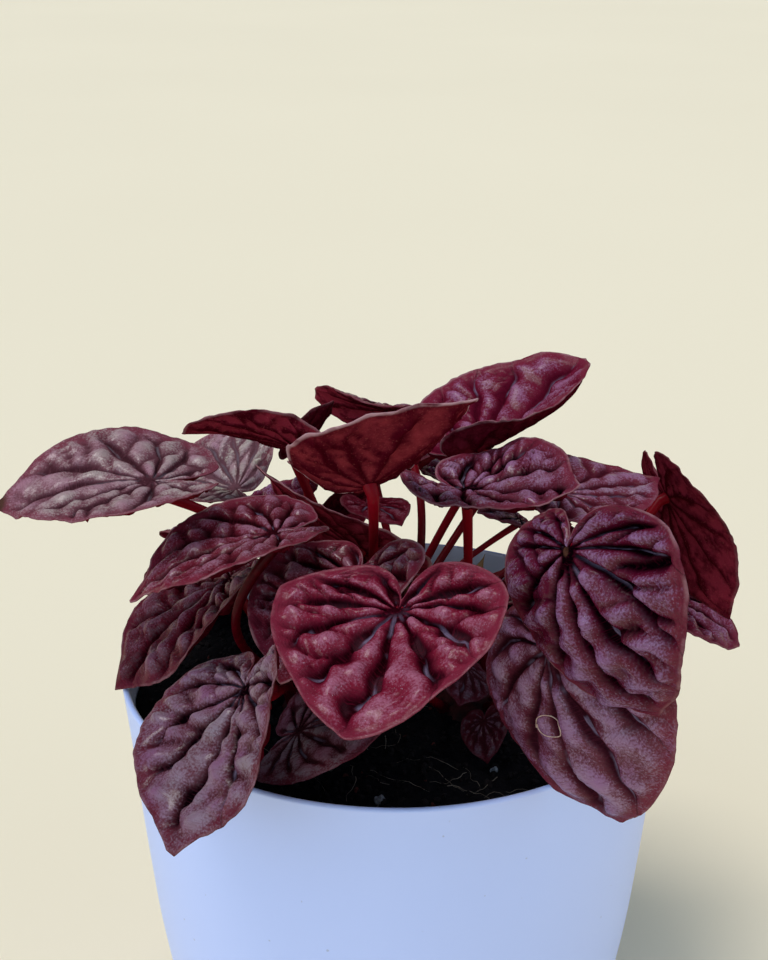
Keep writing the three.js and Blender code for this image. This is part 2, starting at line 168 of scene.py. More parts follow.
LEAVES = [
    plan("left_silver", "silver", "left", (-12, -3), (-16, -3, 136), (-48, -16, 155), (-174, 5, 2), 32,
         bend=25, cup=0.05, fold=0.15, twist=20, quilt=0.07, ruffle=0.012, rosy=0.12, pale=0.6, shade=0.85,
         dim=0.05, dried=((0, 32, 3),)),
    plan("left_middle", "wine", "left", (-22, -7), (-43, -33, 124), (-23, -30, 150), (-167, -7, -8), 31,
         bend=25, lobes=0, cup=0.05, fold=0.15, twist=10, back=0.7, quilt=0.085, rosy=0.3, pale=0.2,
         tip=0.06, shade=0.85, rim=0.4, ripe=0.1),
    plan("left_low", "wine", "left", (-22, -6), (-28, -5, 115), (-35, -4, 128), (-159, -25, -19), 34,
         bend=25, lobes=0, cup=0.15, fold=-0.05, twist=35, back=0.55, half=0.62, rosy=0.35, shade=0.9,
         rim=0.4, dim=0.2),
    plan("front_left_hanging", "burgundy", "left", (-22, -6), (-22, -47, 122), (-27, -55, 131),
         (-122, -41, -37), 32, bend=5, lobes=-20, fold=0.15, twist=35, back=0.55, half=0.68, cuts=0.75,
         rosy=0.3, pale=0.75, rim=0.3, dim=0.36),
    plan("low_brown", "wine", "left", (-15, -11), (-17, -29, 104), (-19, -34, 109), (-28, 31, -24), 22,
         bend=25, lobes=-5, cup=0.05, fold=0, twist=-15, quilt=0.04, cuts=0.5, rosy=0.3, pale=0.9, shade=0.7,
         gloss=0.1, dim=0.3),
    plan("left_cupped", "silver", "left", (-17, -6), (-18, -2, 119), (-36, 24, 137), (142, 4, 20), 21,
         bend=-10, lobes=25, cup=-0.15, fold=0.7, twist=5, back=0.75, half=0.66, quilt=0.06, pale=1.0,
         shade=0.2, rim=0.5),
    plan("left_upturned", "wine", "back", (-5, 20), (-10, 17, 116), (-21, 11, 152), (167, 22, -38), 25,
         bend=35, lobes=-10, cup=0.2, fold=0.05, twist=5, back=0.8, quilt=0.05, tip=-0.09, glow=1.7,
         rim=0.4),
    plan("centre_leaning", "wine", "left", (-15, -3), (-10, -3, 122), (-7, -2, 134), (178, 36, -42), 29,
         bend=-10, lobes=5, cup=0.15, fold=-0.1, twist=20, back=1.05, quilt=0.05, glow=1.0, rim=0.5),
    plan("top_folded", "wine", "back", (5, 20), (11, 20, 138), (0, 44, 149), (144, -6, -33), 24, bend=-5,
         lobes=30, cup=-0.1, fold=-0.1, twist=-25, quilt=0.05, tip=-0.04, glow=2.0),
    plan("centre_boat", "wine", "back", (-5, 15), (-4, -32, 148), (-5, -37, 163), (-28, 41, 26), 29, bend=-5,
         lobes=60, cup=-0.15, fold=0.55, twist=-10, back=0.85, half=0.58, quilt=0.05, ruffle=0.016, pale=0.5,
         glow=1.0, rim=1.0),
    plan("front_inner", "wine", "left", (-13, -10), (-11, -19, 122), (-8, -28, 140), (-124, -20, -15), 28,
         bend=10, lobes=45, cup=0.15, fold=0.15, twist=10, back=0.7, half=0.7, rosy=0.4, pale=0.15,
         shade=0.8, gloss=1.0, rim=0.5),
    plan("front_centre", "burgundy", "right", (11, -8), (6, -34, 111), (0, -62, 150), (-108, -21, -8), 28,
         bend=-5, lobes=60, fold=0.15, twist=15, back=0.75, half=0.73, quilt=0.12, floor=1.0, cuts=0.8,
         tip=-0.03, rosy=0.75, shade=0.9, gloss=0.4),
    plan("top_right", "burgundy", "back", (0, 15), (9, 16, 128), (19, 14, 151), (35, 20, 13), 33, bend=-10,
         lobes=60, cup=-0.1, fold=0.55, twist=-15, back=1.1, quilt=0.08, cuts=0.8, pucker=0.8, tip=-0.06,
         rosy=0.4, shade=0.5, gloss=0.3, rim=0.5),
    plan("centre_right", "burgundy", "right", (14, -1), (17, 3, 116), (14, -13, 152), (-36, 10, 0), 27,
         bend=-10, lobes=50, fold=0.25, twist=-25, half=0.61, pucker=0.62, ruffle=0.01, rosy=0.25, pale=0.25,
         rim=0.4),
    plan("right", "burgundy", "right", (19, -1), (28, -2, 140), (34, -5, 148), (28, -5, -9), 26, bend=-5,
         lobes=15, fold=0.05, twist=5, quilt=0.08, rosy=0.35, pale=0.4, shade=0.45),
    plan("far_right_turned", "wine", "right", (21, -4), (39, 4, 113), (61, 17, 138), (-38, -59, 51), 31,
         bend=-5, fold=0, twist=25, back=0.82, half=0.61, quilt=0.035, glow=1.3),
    plan("far_right_low", "burgundy", "right", (18, -4), (41, 15, 107), (61, 21, 113), (-15, -21, 1), 23,
         bend=20, lobes=45, cup=-0.05, twist=-10, back=0.9, tip=-0.04, rosy=0.3),
    plan("front_right", "burgundy", "right", (21, -9), (53, -34, 118), (27, -72, 166), (-101, -63, -54), 35,
         bend=75, lobes=-30, cup=-0.1, fold=-0.1, twist=10, back=0.5, half=0.7, tip=0.02, rim=0.45, dim=0.14,
         dried=((0.4, 0.2, 0.8),)),
    plan("front_right_hanging", "burgundy", "right", (19, -8), (38, -34, 110), (27, -55, 139),
         (-99, -66, -53), 38, bend=60, lobes=-45, cup=-0.15, fold=-0.1, twist=20, back=0.55, half=0.7,
         tip=0.0, quilt=0.08, cuts=0.4, rosy=0.05, pale=0.4, shade=0.7),
    plan("back_left", "burgundy", "left", (-17, -6), (-25, 15, 116), (-34, 34, 126), (135, -15, 4), 32,
         back=0.85),
    plan("back_left_low", "wine", "left", (-16, -3), (-28, 12, 105), (-43, 34, 115), (140, -37, -10), 26,
         bend=40),
    plan("back_centre", "silver", "back", (3, 23), (0, 34, 116), (-5, 45, 133), (97, -13, 7), 33, bend=25,
         fold=0.2),
    plan("back_centre_right", "burgundy", "back", (1, 23), (12, 37, 114), (23, 49, 129), (80, -4, -3), 28),
    plan("back_right", "burgundy", "back", (3, 21), (26, 36, 106), (42, 47, 123), (46, -12, 10), 32, bend=35,
         fold=0.17, quilt=0.085),
    plan("back_right_low", "wine", "back", (4, 21), (13, 38, 108), (50, 48, 113), (42, -38, 0), 27, bend=50,
         lobes=-30, back=0.55),
    plan("back_hanging", "burgundy", "back", (2, 23), (-10, 41, 104), (-20, 61, 114), (106, -48, 4), 29),
    plan("back_small_left", "wine", "back", (-3, 21), (-9, 24, 107), (-16, 26, 110), (120, -5, 0), 20),
    plan("back_small_right", "wine", "back", (5, 19), (17, 21, 105), (24, 20, 112), (30, -5, 10), 22),
    plan("young_soil_front", "wine", "right", (16, -11), (18, -24, 105), (18, -27, 107), (-96, -22, -21), 9,
         bend=40, lobes=-10, cup=0.05, fold=0, twist=5, half=0.56, quilt=0.035, pale=0.4, shade=0.3,
         gloss=0.2, dim=0.7),
    plan("young_soil_right", "wine", "right", (14, -8), (14, -8, 106), (15, -8, 109), (-92, -4, 31), 12,
         bend=25, lobes=5, cup=0, fold=-0.1, twist=-10, quilt=0.04, pale=0.4, shade=0.3, gloss=0.2, dim=0.6),
    plan("young_right", "wine", "back", (0, 18), (8, 22, 115), (29, 27, 128), (-147, 34, 9), 13, bend=25,
         cup=0.05, fold=0.05),
    plan("young_red", "wine", "back", (-1, 23), (-3, 24, 118), (-5, 26, 132), (-58, 5, 7), 13, bend=10,
         lobes=20, cup=0.05, twist=-15, quilt=0.03, rosy=0.6, shade=0.6, dim=0.45),
    plan("young_upright", "wine", "left", (-21, -2), (-19, 17, 128), (-22, 39, 143), (7, 57, 32), 13,
         bend=15, lobes=5, twist=10),
]
for seed, leaf in enumerate(LEAVES, LEAF_SEED):
    leaf["seed"] = seed

# ---------------------------------------------------------------- node trees from Python expressions


def operator(operation, swapped=False):
    """A method that adds a Math node for an operator, with its sides swapped in the reflected form."""

    def method(self, other):
        sides = (other, self) if swapped else (self, other)
        return self.maker.math(operation, *sides)

    return method


class Value:
    """A node's output that takes part in arithmetic."""

    def __init__(self, maker, socket):
        self.maker = maker
        self.socket = socket

    __add__, __radd__ = operator("ADD"), operator("ADD", swapped=True)
    __sub__, __rsub__ = operator("SUBTRACT"), operator("SUBTRACT", swapped=True)
    __mul__, __rmul__ = operator("MULTIPLY"), operator("MULTIPLY", swapped=True)
    __truediv__, __rtruediv__ = operator("DIVIDE"), operator("DIVIDE", swapped=True)


class Maker:
    """Adds nodes to a tree, and hands back their outputs as values."""

    def __init__(self, tree):
        self.tree = tree

    def feed(self, socket, value):
        """Links a value to a socket, or sets the socket to a plain one."""
        if isinstance(value, Value):
            self.tree.links.new(value.socket, socket)
        else:
            socket.default_value = value

    def add(self, kind, sockets=None, output=0, **settings):
        """One node: its settings first, then the values or links of its sockets."""
        node = self.tree.nodes.new(kind)
        for name, setting in settings.items():
            setattr(node, name, setting)
        for key, value in (sockets or {}).items():
            self.feed(node.inputs[key], value)
        return Value(self, node.outputs[output])

    def math(self, operation, *values):
        return self.add("ShaderNodeMath", dict(enumerate(values)), operation=operation)

    def vector(self, operation, *values, output=0):
        return self.add("ShaderNodeVectorMath", dict(enumerate(values)), output, operation=operation)

    def fade(self, value, low, high):
        """0 below low and 1 above high, smoothly between. Low may be the larger one."""
        sockets = {"Value": value, "From Min": low, "From Max": high}
        return self.add("ShaderNodeMapRange", sockets, interpolation_type="SMOOTHSTEP")

    def mix(self, share, one, other):
        """Colour one at share 0 and the other at share 1."""
        return self.add("ShaderNodeMix", {0: share, 6: one, 7: other}, 2, data_type="RGBA")

    def combine(self, x, y, z):
        return self.add("ShaderNodeCombineXYZ", {"X": x, "Y": y, "Z": z})

    def parts(self, vector):
        """X, Y and Z of a vector."""
        node = self.add("ShaderNodeSeparateXYZ", {0: vector}).socket.node
        return [Value(self, socket) for socket in node.outputs]


def srgb(*parts):
    """A linear colour from the 0 to 255 values of a colour picker."""
    linear = [((part / 255 + 0.055) / 1.055) ** 2.4 if part > 10 else part / 3295 for part in parts]
    return (*linear, 1.0)


class Finish(Maker):
    """A material on one Principled shader."""

    def __init__(self, name):
        self.material = bpy.data.materials.new(name)
        self.material.use_nodes = True
        super().__init__(self.material.node_tree)
        self.shader = self.tree.nodes["Principled BSDF"]
        self.place = self.add("ShaderNodeTexCoord", output="Object")

    def made(self, **values):
        """The material, with these sockets of its shader fed. An underscore stands for a space in a name."""
        for name, value in values.items():
            self.feed(self.shader.inputs[name.replace("_", " ")], value)
        return self.material

    def attributes(self, names):
        return [self.add("ShaderNodeAttribute", output="Fac", attribute_name=name) for name in names.split()]

    def inwards(self):
        """1 where a face of a round thing looks towards the upright axis, 0 where it looks away."""
        out = self.vector("NORMALIZE", self.vector("MULTIPLY", self.place, (1.0, 1.0, 0.0)))
        facing = self.add("ShaderNodeTexCoord", output="Normal")
        return self.fade(self.vector("DOT_PRODUCT", out, facing, output="Value"), -0.3, -0.7)

    def noise(self, size, detail, place=None):
        """Noise whose lumps are about that many millimetres across."""
        return self.add("ShaderNodeTexNoise", {
            "Vector": place or self.place, "Scale": 1 / (size * MM), "Detail": detail,
        })

    def bump(self, height, depth):
        """Relief of a height from 0 to 1 that stands that many millimetres deep."""
        return self.add("ShaderNodeBump", {"Height": height, "Distance": depth * MM, "Strength": 1.0})


class Recipe(Maker):
    """A Geometry Nodes tree with named inputs, which grows plain meshes from start meshes."""

    def __init__(self, name, **kinds):
        """Each kind of socket is given the names of its inputs."""
        super().__init__(bpy.data.node_groups.new(name, "GeometryNodeTree"))
        new_socket = self.tree.interface.new_socket
        new_socket("Geometry", in_out="OUTPUT", socket_type="NodeSocketGeometry")
        self.identifiers = {
            label: new_socket(label, in_out="INPUT", socket_type="NodeSocket" + kind).identifier
            for kind, labels in {"Geometry": "Geometry", **kinds}.items() for label in labels.split()
        }
        self.entry = self.tree.nodes.new("NodeGroupInput")
        self.start = self.given("Geometry")

    def given(self, label):
        return Value(self, self.entry.outputs[label])

    def named(self, attribute):
        return self.add("GeometryNodeInputNamedAttribute", {"Name": attribute}, data_type="FLOAT")

    def position(self):
        return self.add("GeometryNodeInputPosition")

    def chance(self, low, high, seed):
        """A random number for each point or instance."""
        return self.add("FunctionNodeRandomValue", {2: low, 3: high, "Seed": seed}, 1, data_type="FLOAT")

    def moved(self, geometry, **where):
        return self.add("GeometryNodeSetPosition", {"Geometry": geometry, **where})

    def smooth(self, geometry):
        return self.add("GeometryNodeSetShadeSmooth", {"Geometry": geometry})

    def real(self, geometry):
        return self.add("GeometryNodeRealizeInstances", {"Geometry": geometry})

    def painted(self, geometry, label, **where):
        """The geometry, or the faces that are selected, in the material of that input."""
        sockets = {"Geometry": geometry, "Material": self.given(label), **where}
        return self.add("GeometryNodeSetMaterial", sockets)

    def ends_in(self, geometry):
        self.feed(self.tree.nodes.new("NodeGroupOutput").inputs["Geometry"], geometry)
        return self

    def grow(self, start, name, **values):
        """The evaluated result as a plain mesh of that name; the start mesh is used up."""
        holder = new_object(name + "_start", start)
        modifier = holder.modifiers.new("Recipe", "NODES")
        modifier.node_group = self.tree
        for label, value in values.items():
            modifier[self.identifiers[label]] = value
        depsgraph = bpy.context.evaluated_depsgraph_get()
        mesh = bpy.data.meshes.new_from_object(holder.evaluated_get(depsgraph), depsgraph=depsgraph)
        mesh.name = name
        holder.modifiers.remove(modifier)
        bpy.data.objects.remove(holder)
        bpy.data.meshes.remove(start)
        return mesh


def new_object(name, data):
    made = bpy.data.objects.new(name, data)
    bpy.context.scene.collection.objects.link(made)
    return made


# ---------------------------------------------------------------- meshes from arrays


def plain_mesh(name, points, faces=(), edges=()):
    """A mesh from points in millimetres."""
    mesh = bpy.data.meshes.new(name)
    mesh.from_pydata((np.asarray(points, float) * MM).tolist(), edges, faces)
    mesh.update()
    return mesh


def store(mesh, name, values, domain="POINT"):
    layer = mesh.attributes.new(name, "FLOAT", domain)
    layer.data.foreach_set("value", np.asarray(values, np.float32))


def ease(value, low, high):
    """0 below low and 1 above high, smoothly between. Low may be the larger one."""
    share = np.clip((value - low) / (high - low), 0, 1)
    return share * share * (3 - 2 * share)


def curve_through(knots, where):
    """A smooth curve through the knots, by Hermite pieces with the mean slope at each knot."""
    xs, ys = np.array(knots, float).T
    slopes = np.gradient(ys, xs)
    piece = np.clip(np.searchsorted(xs, where, side="right") - 1, 0, len(xs) - 2)
    width = xs[piece + 1] - xs[piece]
    t = (where - xs[piece]) / width
    start = ys[piece] * (1 + 2 * t) * (1 - t) ** 2 + slopes[piece] * width * t * (1 - t) ** 2
    end = ys[piece + 1] * t * t * (3 - 2 * t) + slopes[piece + 1] * width * t * t * (t - 1)
    return start + end


def wobble(x, y, wavelength, rng, waves=6):
    """Smooth irregular waves, mostly between -1 and 1."""
    total = np.zeros(np.broadcast(x, y).shape)
    for _ in range(waves):
        angle, phase = rng.uniform(0, TAU, 2)
        run = (x * math.cos(angle) + y * math.sin(angle)) / (wavelength * rng.uniform(0.7, 1.5))
        total += np.sin(TAU * run + phase)
    return total / math.sqrt(waves)


def around(columns):
    """Even angles once round, in radians."""
    return np.arange(columns) / columns * TAU


def polar_grid(radius, rings, columns, power=1.0):
    """X and Y of rings of points round the upright axis, and each ring's share of the radius."""
    share = ((np.arange(1, rings + 1) / rings) ** power)[:, None]
    angle = around(columns)[None, :]
    return radius * share * np.cos(angle), radius * share * np.sin(angle), share


def as_points(x, y, z):
    return np.stack([x, y, z], axis=-1).reshape(-1, 3)


def chain(first, count):
    """Edges that join that many points, one after another."""
    place = np.arange(first, first + count - 1)
    return np.stack([place, place + 1], axis=1).tolist()


def ring_faces(rings, columns, first):
    """Quads of a polar sheet whose rings of points follow one another, closed round."""
    place = np.arange(columns)
    after = (place + 1) % columns
    faces = []
    for ring in range(rings - 1):
        low = first + ring * columns
        high = low + columns
        faces.append(np.stack([low + place, high + place, high + after, low + after], axis=1))
    return np.concatenate(faces).tolist()


def fan(hub, first, columns, downwards=False):
    """Triangles from one point to a ring of points, facing up or down."""
    place = np.arange(columns)
    after = (place + 1) % columns
    near, far = (after, place) if downwards else (place, after)
    return np.stack([np.full(columns, hub), first + near, first + far], axis=1).tolist()


# ---------------------------------------------------------------- leaf blades


def reach(angle, tip=0.0):
    """Distance to the margin over the leaf's length, by the angle from the tip in radians."""
    degrees = np.abs((np.degrees(angle) + 180) % 360 - 180)
    pinch = np.exp(-(((degrees - TIP_FLANK) / TIP_FLANK_WIDTH) ** 2))
    return curve_through(HEART, degrees) * (1 - tip * pinch)


def arched(angle, share, wander=(0, 0, 0)):
    """The veins arch towards the tip on their way out, and wander a little, the columns between them too."""
    slow, quick, zigzag = wander
    stray = 0.08 * np.sin(2 * angle + slow + 3 * share) + 0.05 * np.sin(4 * angle + quick - 6 * share)
    stray = stray + 0.028 * np.sin(7 * angle + zigzag + 22 * share)
    at_sinus = (np.abs((angle + math.pi) % TAU - math.pi) / math.pi) ** 4
    return angle - VEIN_ARCH * share**2 * np.sin(angle) + stray * share * (1 - at_sinus)


def vein_strips(rng):
    """Start and end angle of each strip between two main veins, all the way round, in radians."""
    outer = np.array(VEINS[1:])
    right, left = (outer + VEIN_STRAY * rng.uniform(-1, 1, len(outer)) for _ in range(2))
    edges = np.radians([*-left[::-1], VEINS[0], *right, 360 - left[-1]])
    return np.stack([edges[:-1], edges[1:]], axis=1)


def blade_columns(strips, gap):
    """For each column of the blade: its angle at the stalk, its strip and its share across the strip."""
    angles, places, shares = [], [], []
    for place, (start, end) in enumerate(strips):
        rim = arched(np.linspace(start, end, RIM_STEPS), 1)
        edge = reach(rim) * np.exp(1j * rim)
        run = np.abs(np.diff(edge)).sum()
        count = 2 * max(3, round(run / gap / 2))
        even = np.arange(count) / count
        share = even - FURROW_CROWDING * np.sin(TAU * even)
        angles.append(start + (end - start) * share)
        places.append(np.full(count, place))
        shares.append(share)
    return np.concatenate(angles), np.concatenate(places), np.concatenate(shares)


def puffed(share):
    """A furrow at 0 that rises steeply to a rounded top at 1."""
    share = np.clip(share, 0, 1)
    return (1 - (1 - share) ** PUFF_ROUND) ** PUFF_STEEP


def side_furrows(radius, sideways, across, leaf, rng, by_midrib):
    """How deep the side veins cut one strip's ridge, as a share of its height."""
    length = leaf["length"]
    gaps = leaf["pucker"] * length * rng.uniform(*(MIDRIB_GAPS if by_midrib else SIDE_GAPS), SIDE_VEINS)
    starts = length * rng.uniform(0.1, 0.2) + np.cumsum(gaps)
    cut = np.zeros_like(radius)
    for start, gap in zip(starts, gaps):
        lean, bow = rng.uniform(0.55, 1.15), rng.uniform(-0.03, 0.03)
        depth = rng.uniform(*(MIDRIB_CUTS if by_midrib else SIDE_CUTS))
        fade, inner = rng.uniform(0.0, 0.9), rng.uniform() < 0.5
        line = start + lean * sideways + bow * sideways**2
        ends = ease(across, 0.45, 0.95) if inner else ease(across, 0.55, 0.05)
        closed = 1 - puffed(np.abs(radius - line) / (0.55 * gap))
        cut = np.maximum(cut, depth * (1 - fade * ends) * closed)
    return cut


def quilted_heart(leaf):
    """The flat blade as rings of points: where they are, the relief, and what the finish needs to know."""
    rng = np.random.default_rng(leaf["seed"])
    length = leaf["length"]
    rings = 2 * round(BLADE_RINGS * leaf["detail"] / 2)
    edges = vein_strips(rng)
    angle, strip, across_strip = blade_columns(edges, COLUMN_GAP / leaf["detail"])
    share = (np.arange(1, rings + 1) / rings)[:, None]

    wander = rng.uniform(0, TAU, 3)
    turn = arched(angle[None, :], share, wander)
    edge = length * reach(turn, leaf["tip"])
    radius = edge * share
    x = radius * np.sin(turn) * leaf["half"] / HEART_HALF_WIDTH
    y = radius * np.cos(turn)
    y = np.where(y > 0, y, y * leaf["back"])

    ends = [arched(edges[strip, end][None, :], share, wander) for end in (0, 1)]
    width = (ends[1] - ends[0]) * radius
    to_vein = np.minimum(across_strip, 1 - across_strip)[None, :] * width
    outwards = np.where(edges[strip].mean(axis=1) > 0, 1, -1)[None, :]
    sideways = (across_strip[None, :] - 0.5) * width * outwards
    from_midrib = np.where(outwards > 0, across_strip[None, :], 1 - across_strip[None, :])

    def waves_of(wavelength, *count):
        return wobble(x, y, wavelength, rng, *count)

    # Side veins leave the main ones and part each ridge into puffs.
    warped = radius + 0.02 * length * waves_of(0.35 * length)
    cut = np.zeros_like(radius)
    for place, middle in enumerate(np.abs(edges.mean(axis=1))):
        here = strip == place
        by_midrib = middle < math.radians(VEINS[1])
        cut[:, here] = side_furrows(
            warped[:, here], sideways[:, here], from_midrib[:, here], leaf, rng, by_midrib
        )
    cut = leaf["cuts"] * cut * ease(share, 0.08, 0.3)

    # Main furrows have flat floors here and there, and run out towards the margin.
    widened = ease(waves_of(0.3 * length), -0.6, 1) * ease(share, 0.15, 0.5)
    floor = 0.15 + leaf["floor"] * widened
    half_ridge = np.minimum(width / 2, 0.085 * length + 0.12 * width)
    climb = (to_vein - floor) / np.maximum(half_ridge - floor, 0.2)
    main_cut = 1 - 0.3 * ease(waves_of(0.5 * length), 0.2, 1.2)
    main_cut = main_cut * (0.4 + 0.6 * ease(edge - radius, 0.02 * length, 0.24 * length))
    ridge = 1 - main_cut * (1 - puffed(climb))
    height = ridge * (1 - cut)
    height = np.clip(height * (1 + 0.16 * waves_of(0.18 * length)), 0, 1.2)
    height = height * ease(share + 0.04 * waves_of(0.1 * length), 0.0, 0.22)

    to_margin = (edge - radius) * (0.72 + 0.1 * np.cos(turn))
    from_tip = 1 - y / length
    quilted = ease(to_margin, 0.01 * length, 0.07 * length) * ease(from_tip, 0.03, 0.2)
    strength = leaf["quilt"] * length * (1 - np.exp(-width / (0.12 * length)))
    relief = strength * (height - PUFF_LEVEL) * quilted * ease(share, 0.0, 0.14)
    crinkle = 0.07 * waves_of(2.6, 9) * ease(share, 0.1, 0.4)
    waves = 0.014 * length * share**2 * waves_of(0.8 * length)
    ruffle = leaf["ruffle"] * length * share**6 * waves_of(0.3 * length)
    frill = 0.1 * share**14 * waves_of(2.9, 9)
    dried = np.zeros_like(x)
    for spot_x, spot_y, size in leaf["dried"]:
        dried = np.maximum(dried, np.clip(1.5 - np.hypot(x - spot_x, y - spot_y) / size, 0, 1))
    shown = height * quilted + MARGIN_HEIGHT * (1 - quilted)
    flat = ease(floor - to_vein, -0.3, 0.1) * ease(floor, 0.5, 0.85) * ease(to_margin, 2, 5)
    return dict(x=x, y=y, relief=relief + crinkle, drift=waves + ruffle + frill, height=shown, vein=to_vein,
                flat=flat, margin=to_margin, dried=dried, across=sideways + STRIP_SHIFT * strip,
                along=warped)


def flat_blade(leaf):
    """A closed flat heart: quilted upper face, rounded edge and a smoother under face with raised veins."""
    heart = quilted_heart(leaf)
    rings, columns = heart["x"].shape
    thick = EDGE_HALF + (BLADE_HALF - EDGE_HALF) * ease(heart["margin"], 0, 4)
    upper = heart["relief"] + heart["drift"] + thick
    share = np.where(heart["relief"] > 0, UNDER_RIDGE, UNDER_FURROW)
    under = share * heart["relief"] + heart["drift"] - thick
    under = np.minimum(under, upper - 1.5 * thick)

    # The under face has every second ring, each as low as the lowest of itself and the rings beside it.
    low_rings = np.arange(rings - 1, 0, -2)
    nearby = [under[np.clip(low_rings + step, 0, rings - 1)] for step in (-1, 0, 1)]
    low_z = np.minimum.reduce(nearby)
    low_z[0] = under[-1]

    x, y = heart["x"], heart["y"]
    swell = 1 + EDGE_ROUND / np.hypot(x[-1], y[-1])
    seat = np.array([[0, 0, BLADE_HALF * 0.6], [0, 0, -BLADE_HALF]])
    top = as_points(x, y, upper)
    rim = as_points(x[-1] * swell, y[-1] * swell, (upper[-1] + under[-1]) / 2)
    low = as_points(x[low_rings], y[low_rings], low_z)
    points = np.concatenate([seat, top, rim, low])

    first_top = len(seat)
    cap = fan(0, first_top, columns)
    foot = fan(1, len(points) - columns, columns, downwards=True)
    quads = ring_faces(rings + 1 + len(low_rings), columns, first_top)
    mesh = plain_mesh(leaf["name"], points, cap + quads + foot)

    def both(layer, middle, centre):
        return np.concatenate([[centre, centre], layer.ravel(), middle, layer[low_rings].ravel()])

    store(mesh, "height", both(heart["height"], np.full(columns, 0.5), 0.2))
    store(mesh, "vein", both(heart["vein"], np.full(columns, 9.0), 0.0))
    store(mesh, "margin", both(heart["margin"], np.zeros(columns), 20.0))
    for layer in ("flat", "dried", "across", "along"):
        store(mesh, layer, both(heart[layer], heart[layer][-1], heart[layer][0].mean()))
    for layer in ("rosy", "pale", "shade", "gloss", "glow", "rim", "dim"):
        store(mesh, layer, np.full(len(points), leaf[layer]))
    below = [0] * (len(cap) + rings * columns) + [1] * (len(low_rings) * columns + len(foot))
    store(mesh, "underside", below, "FACE")
    return mesh


def blade_recipe():
    """Bends a flat blade: dished and folded along the midrib, curled at tip and lobes, then twisted."""
    sizes = "Length Cup Fold Bend Lobes Twist"
    recipe = Recipe("Bent leaf blade", Float=sizes, Material="Upper Under")
    length, cup, fold, bend, lobes, twist = map(recipe.given, sizes.split())
    across, along, relief = recipe.parts(recipe.position())

    keel = length * KEEL_ROUND
    folded = fold * (recipe.math("SQRT", across * across + keel * keel) - keel)
    height = cup * across * across / length + folded + relief

    forward = recipe.math("GREATER_THAN", along, 0)
    curl = (forward * bend + (1 - forward) * lobes * 2) / length
    side = 1 - 2 * forward
    slope = side * curl * along
    arc_along = recipe.math("SINE", curl * along) / curl
    arc_height = side * (1 - recipe.math("COSINE", curl * along)) / curl
    turn = twist * along / length

    bent = recipe.combine(
        across * recipe.math("COSINE", turn),
        arc_along - height * recipe.math("SINE", slope),
        arc_height + height * recipe.math("COSINE", slope) + across * recipe.math("SINE", turn),
    )
    blade = recipe.real(recipe.smooth(recipe.moved(recipe.start, Position=bent)))
    below = recipe.math("GREATER_THAN", recipe.named("underside"), 0.5)
    return recipe.ends_in(recipe.painted(recipe.painted(blade, "Upper"), "Under", Selection=below))


def leaf_place(leaf):
    heading, pitch, roll = leaf["turn"]
    place = Matrix.Translation(Vector(leaf["at"]) * MM)
    for degrees, axis in ((heading - 90, "Z"), (pitch, "X"), (-roll, "Y")):
        place = place @ Matrix.Rotation(math.radians(degrees), 4, axis)
    return place


def build_leaf(leaf, recipe, upper, under):
    never_flat = 1e-4
    mesh = recipe.grow(
        flat_blade(leaf), leaf["name"],
        Length=leaf["length"] * MM, Cup=leaf["cup"], Fold=leaf["fold"],
        Bend=math.radians(leaf["bend"]) + never_flat, Lobes=math.radians(leaf["lobes"]) + never_flat,
        Twist=math.radians(leaf["twist"]), Upper=upper, Under=under,
    )
    mesh.transform(leaf_place(leaf))
    return dressed(leaf["name"] + "_blade", mesh, "leaf_" + leaf["tone"], leaf["name"])


def dressed(name, mesh, slot, *nodes):
    """The finished piece, riding on the plant and standing for its CAD nodes."""
    piece = new_object(name, mesh)
    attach(piece, "root")
    if nodes:
        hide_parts(*nodes)
    return piece


# ---------------------------------------------------------------- stalks, fibres and other thin round things


def sweep_recipe():
    """A round tube along each line of the start mesh, as thick as its points say."""
    recipe = Recipe("Tubes along lines", Int="Sides", Material="Finish")
    line = recipe.add("GeometryNodeMeshToCurve", {"Mesh": recipe.start})
    sockets = {"Resolution": recipe.given("Sides"), "Radius": 1.0}
    ring = recipe.add("GeometryNodeCurvePrimitiveCircle", sockets)
    sockets = {"Curve": line, "Profile Curve": ring, "Scale": recipe.named("thickness"), "Fill Caps": True}
    tube = recipe.add("GeometryNodeCurveToMesh", sockets)
    return recipe.ends_in(recipe.painted(recipe.real(recipe.smooth(tube)), "Finish"))


def lines_mesh(name, lines):
    """One mesh of separate lines. Each line is (points, radii, the value that its run ends at)."""
    points, radii = (np.concatenate([entry[part] for entry in lines]) for part in (0, 1))
    runs = np.concatenate([np.linspace(0, end, len(line)) for line, _, end in lines])
    edges, first = [], 0
    for line, _, _ in lines:
        edges += chain(first, len(line))
        first += len(line)
    mesh = plain_mesh(name, points, edges=edges)
    store(mesh, "thickness", radii * MM)
    store(mesh, "run", runs)
    return mesh


def build_tubes(recipe, name, lines, sides, finish, slot, *nodes):
    mesh = recipe.grow(lines_mesh(name + "_lines", lines), name, Sides=sides, Finish=finish)
    return dressed(name, mesh, slot, *nodes)


def bezier(corners, steps):
    """Even steps along the Bezier curve of those corners."""
    t = np.linspace(0, 1, steps)[:, None]
    degree = len(corners) - 1
    return sum(
        math.comb(degree, place) * t**place * (1 - t) ** (degree - place) * np.array(corner, float)
        for place, corner in enumerate(corners)
    )


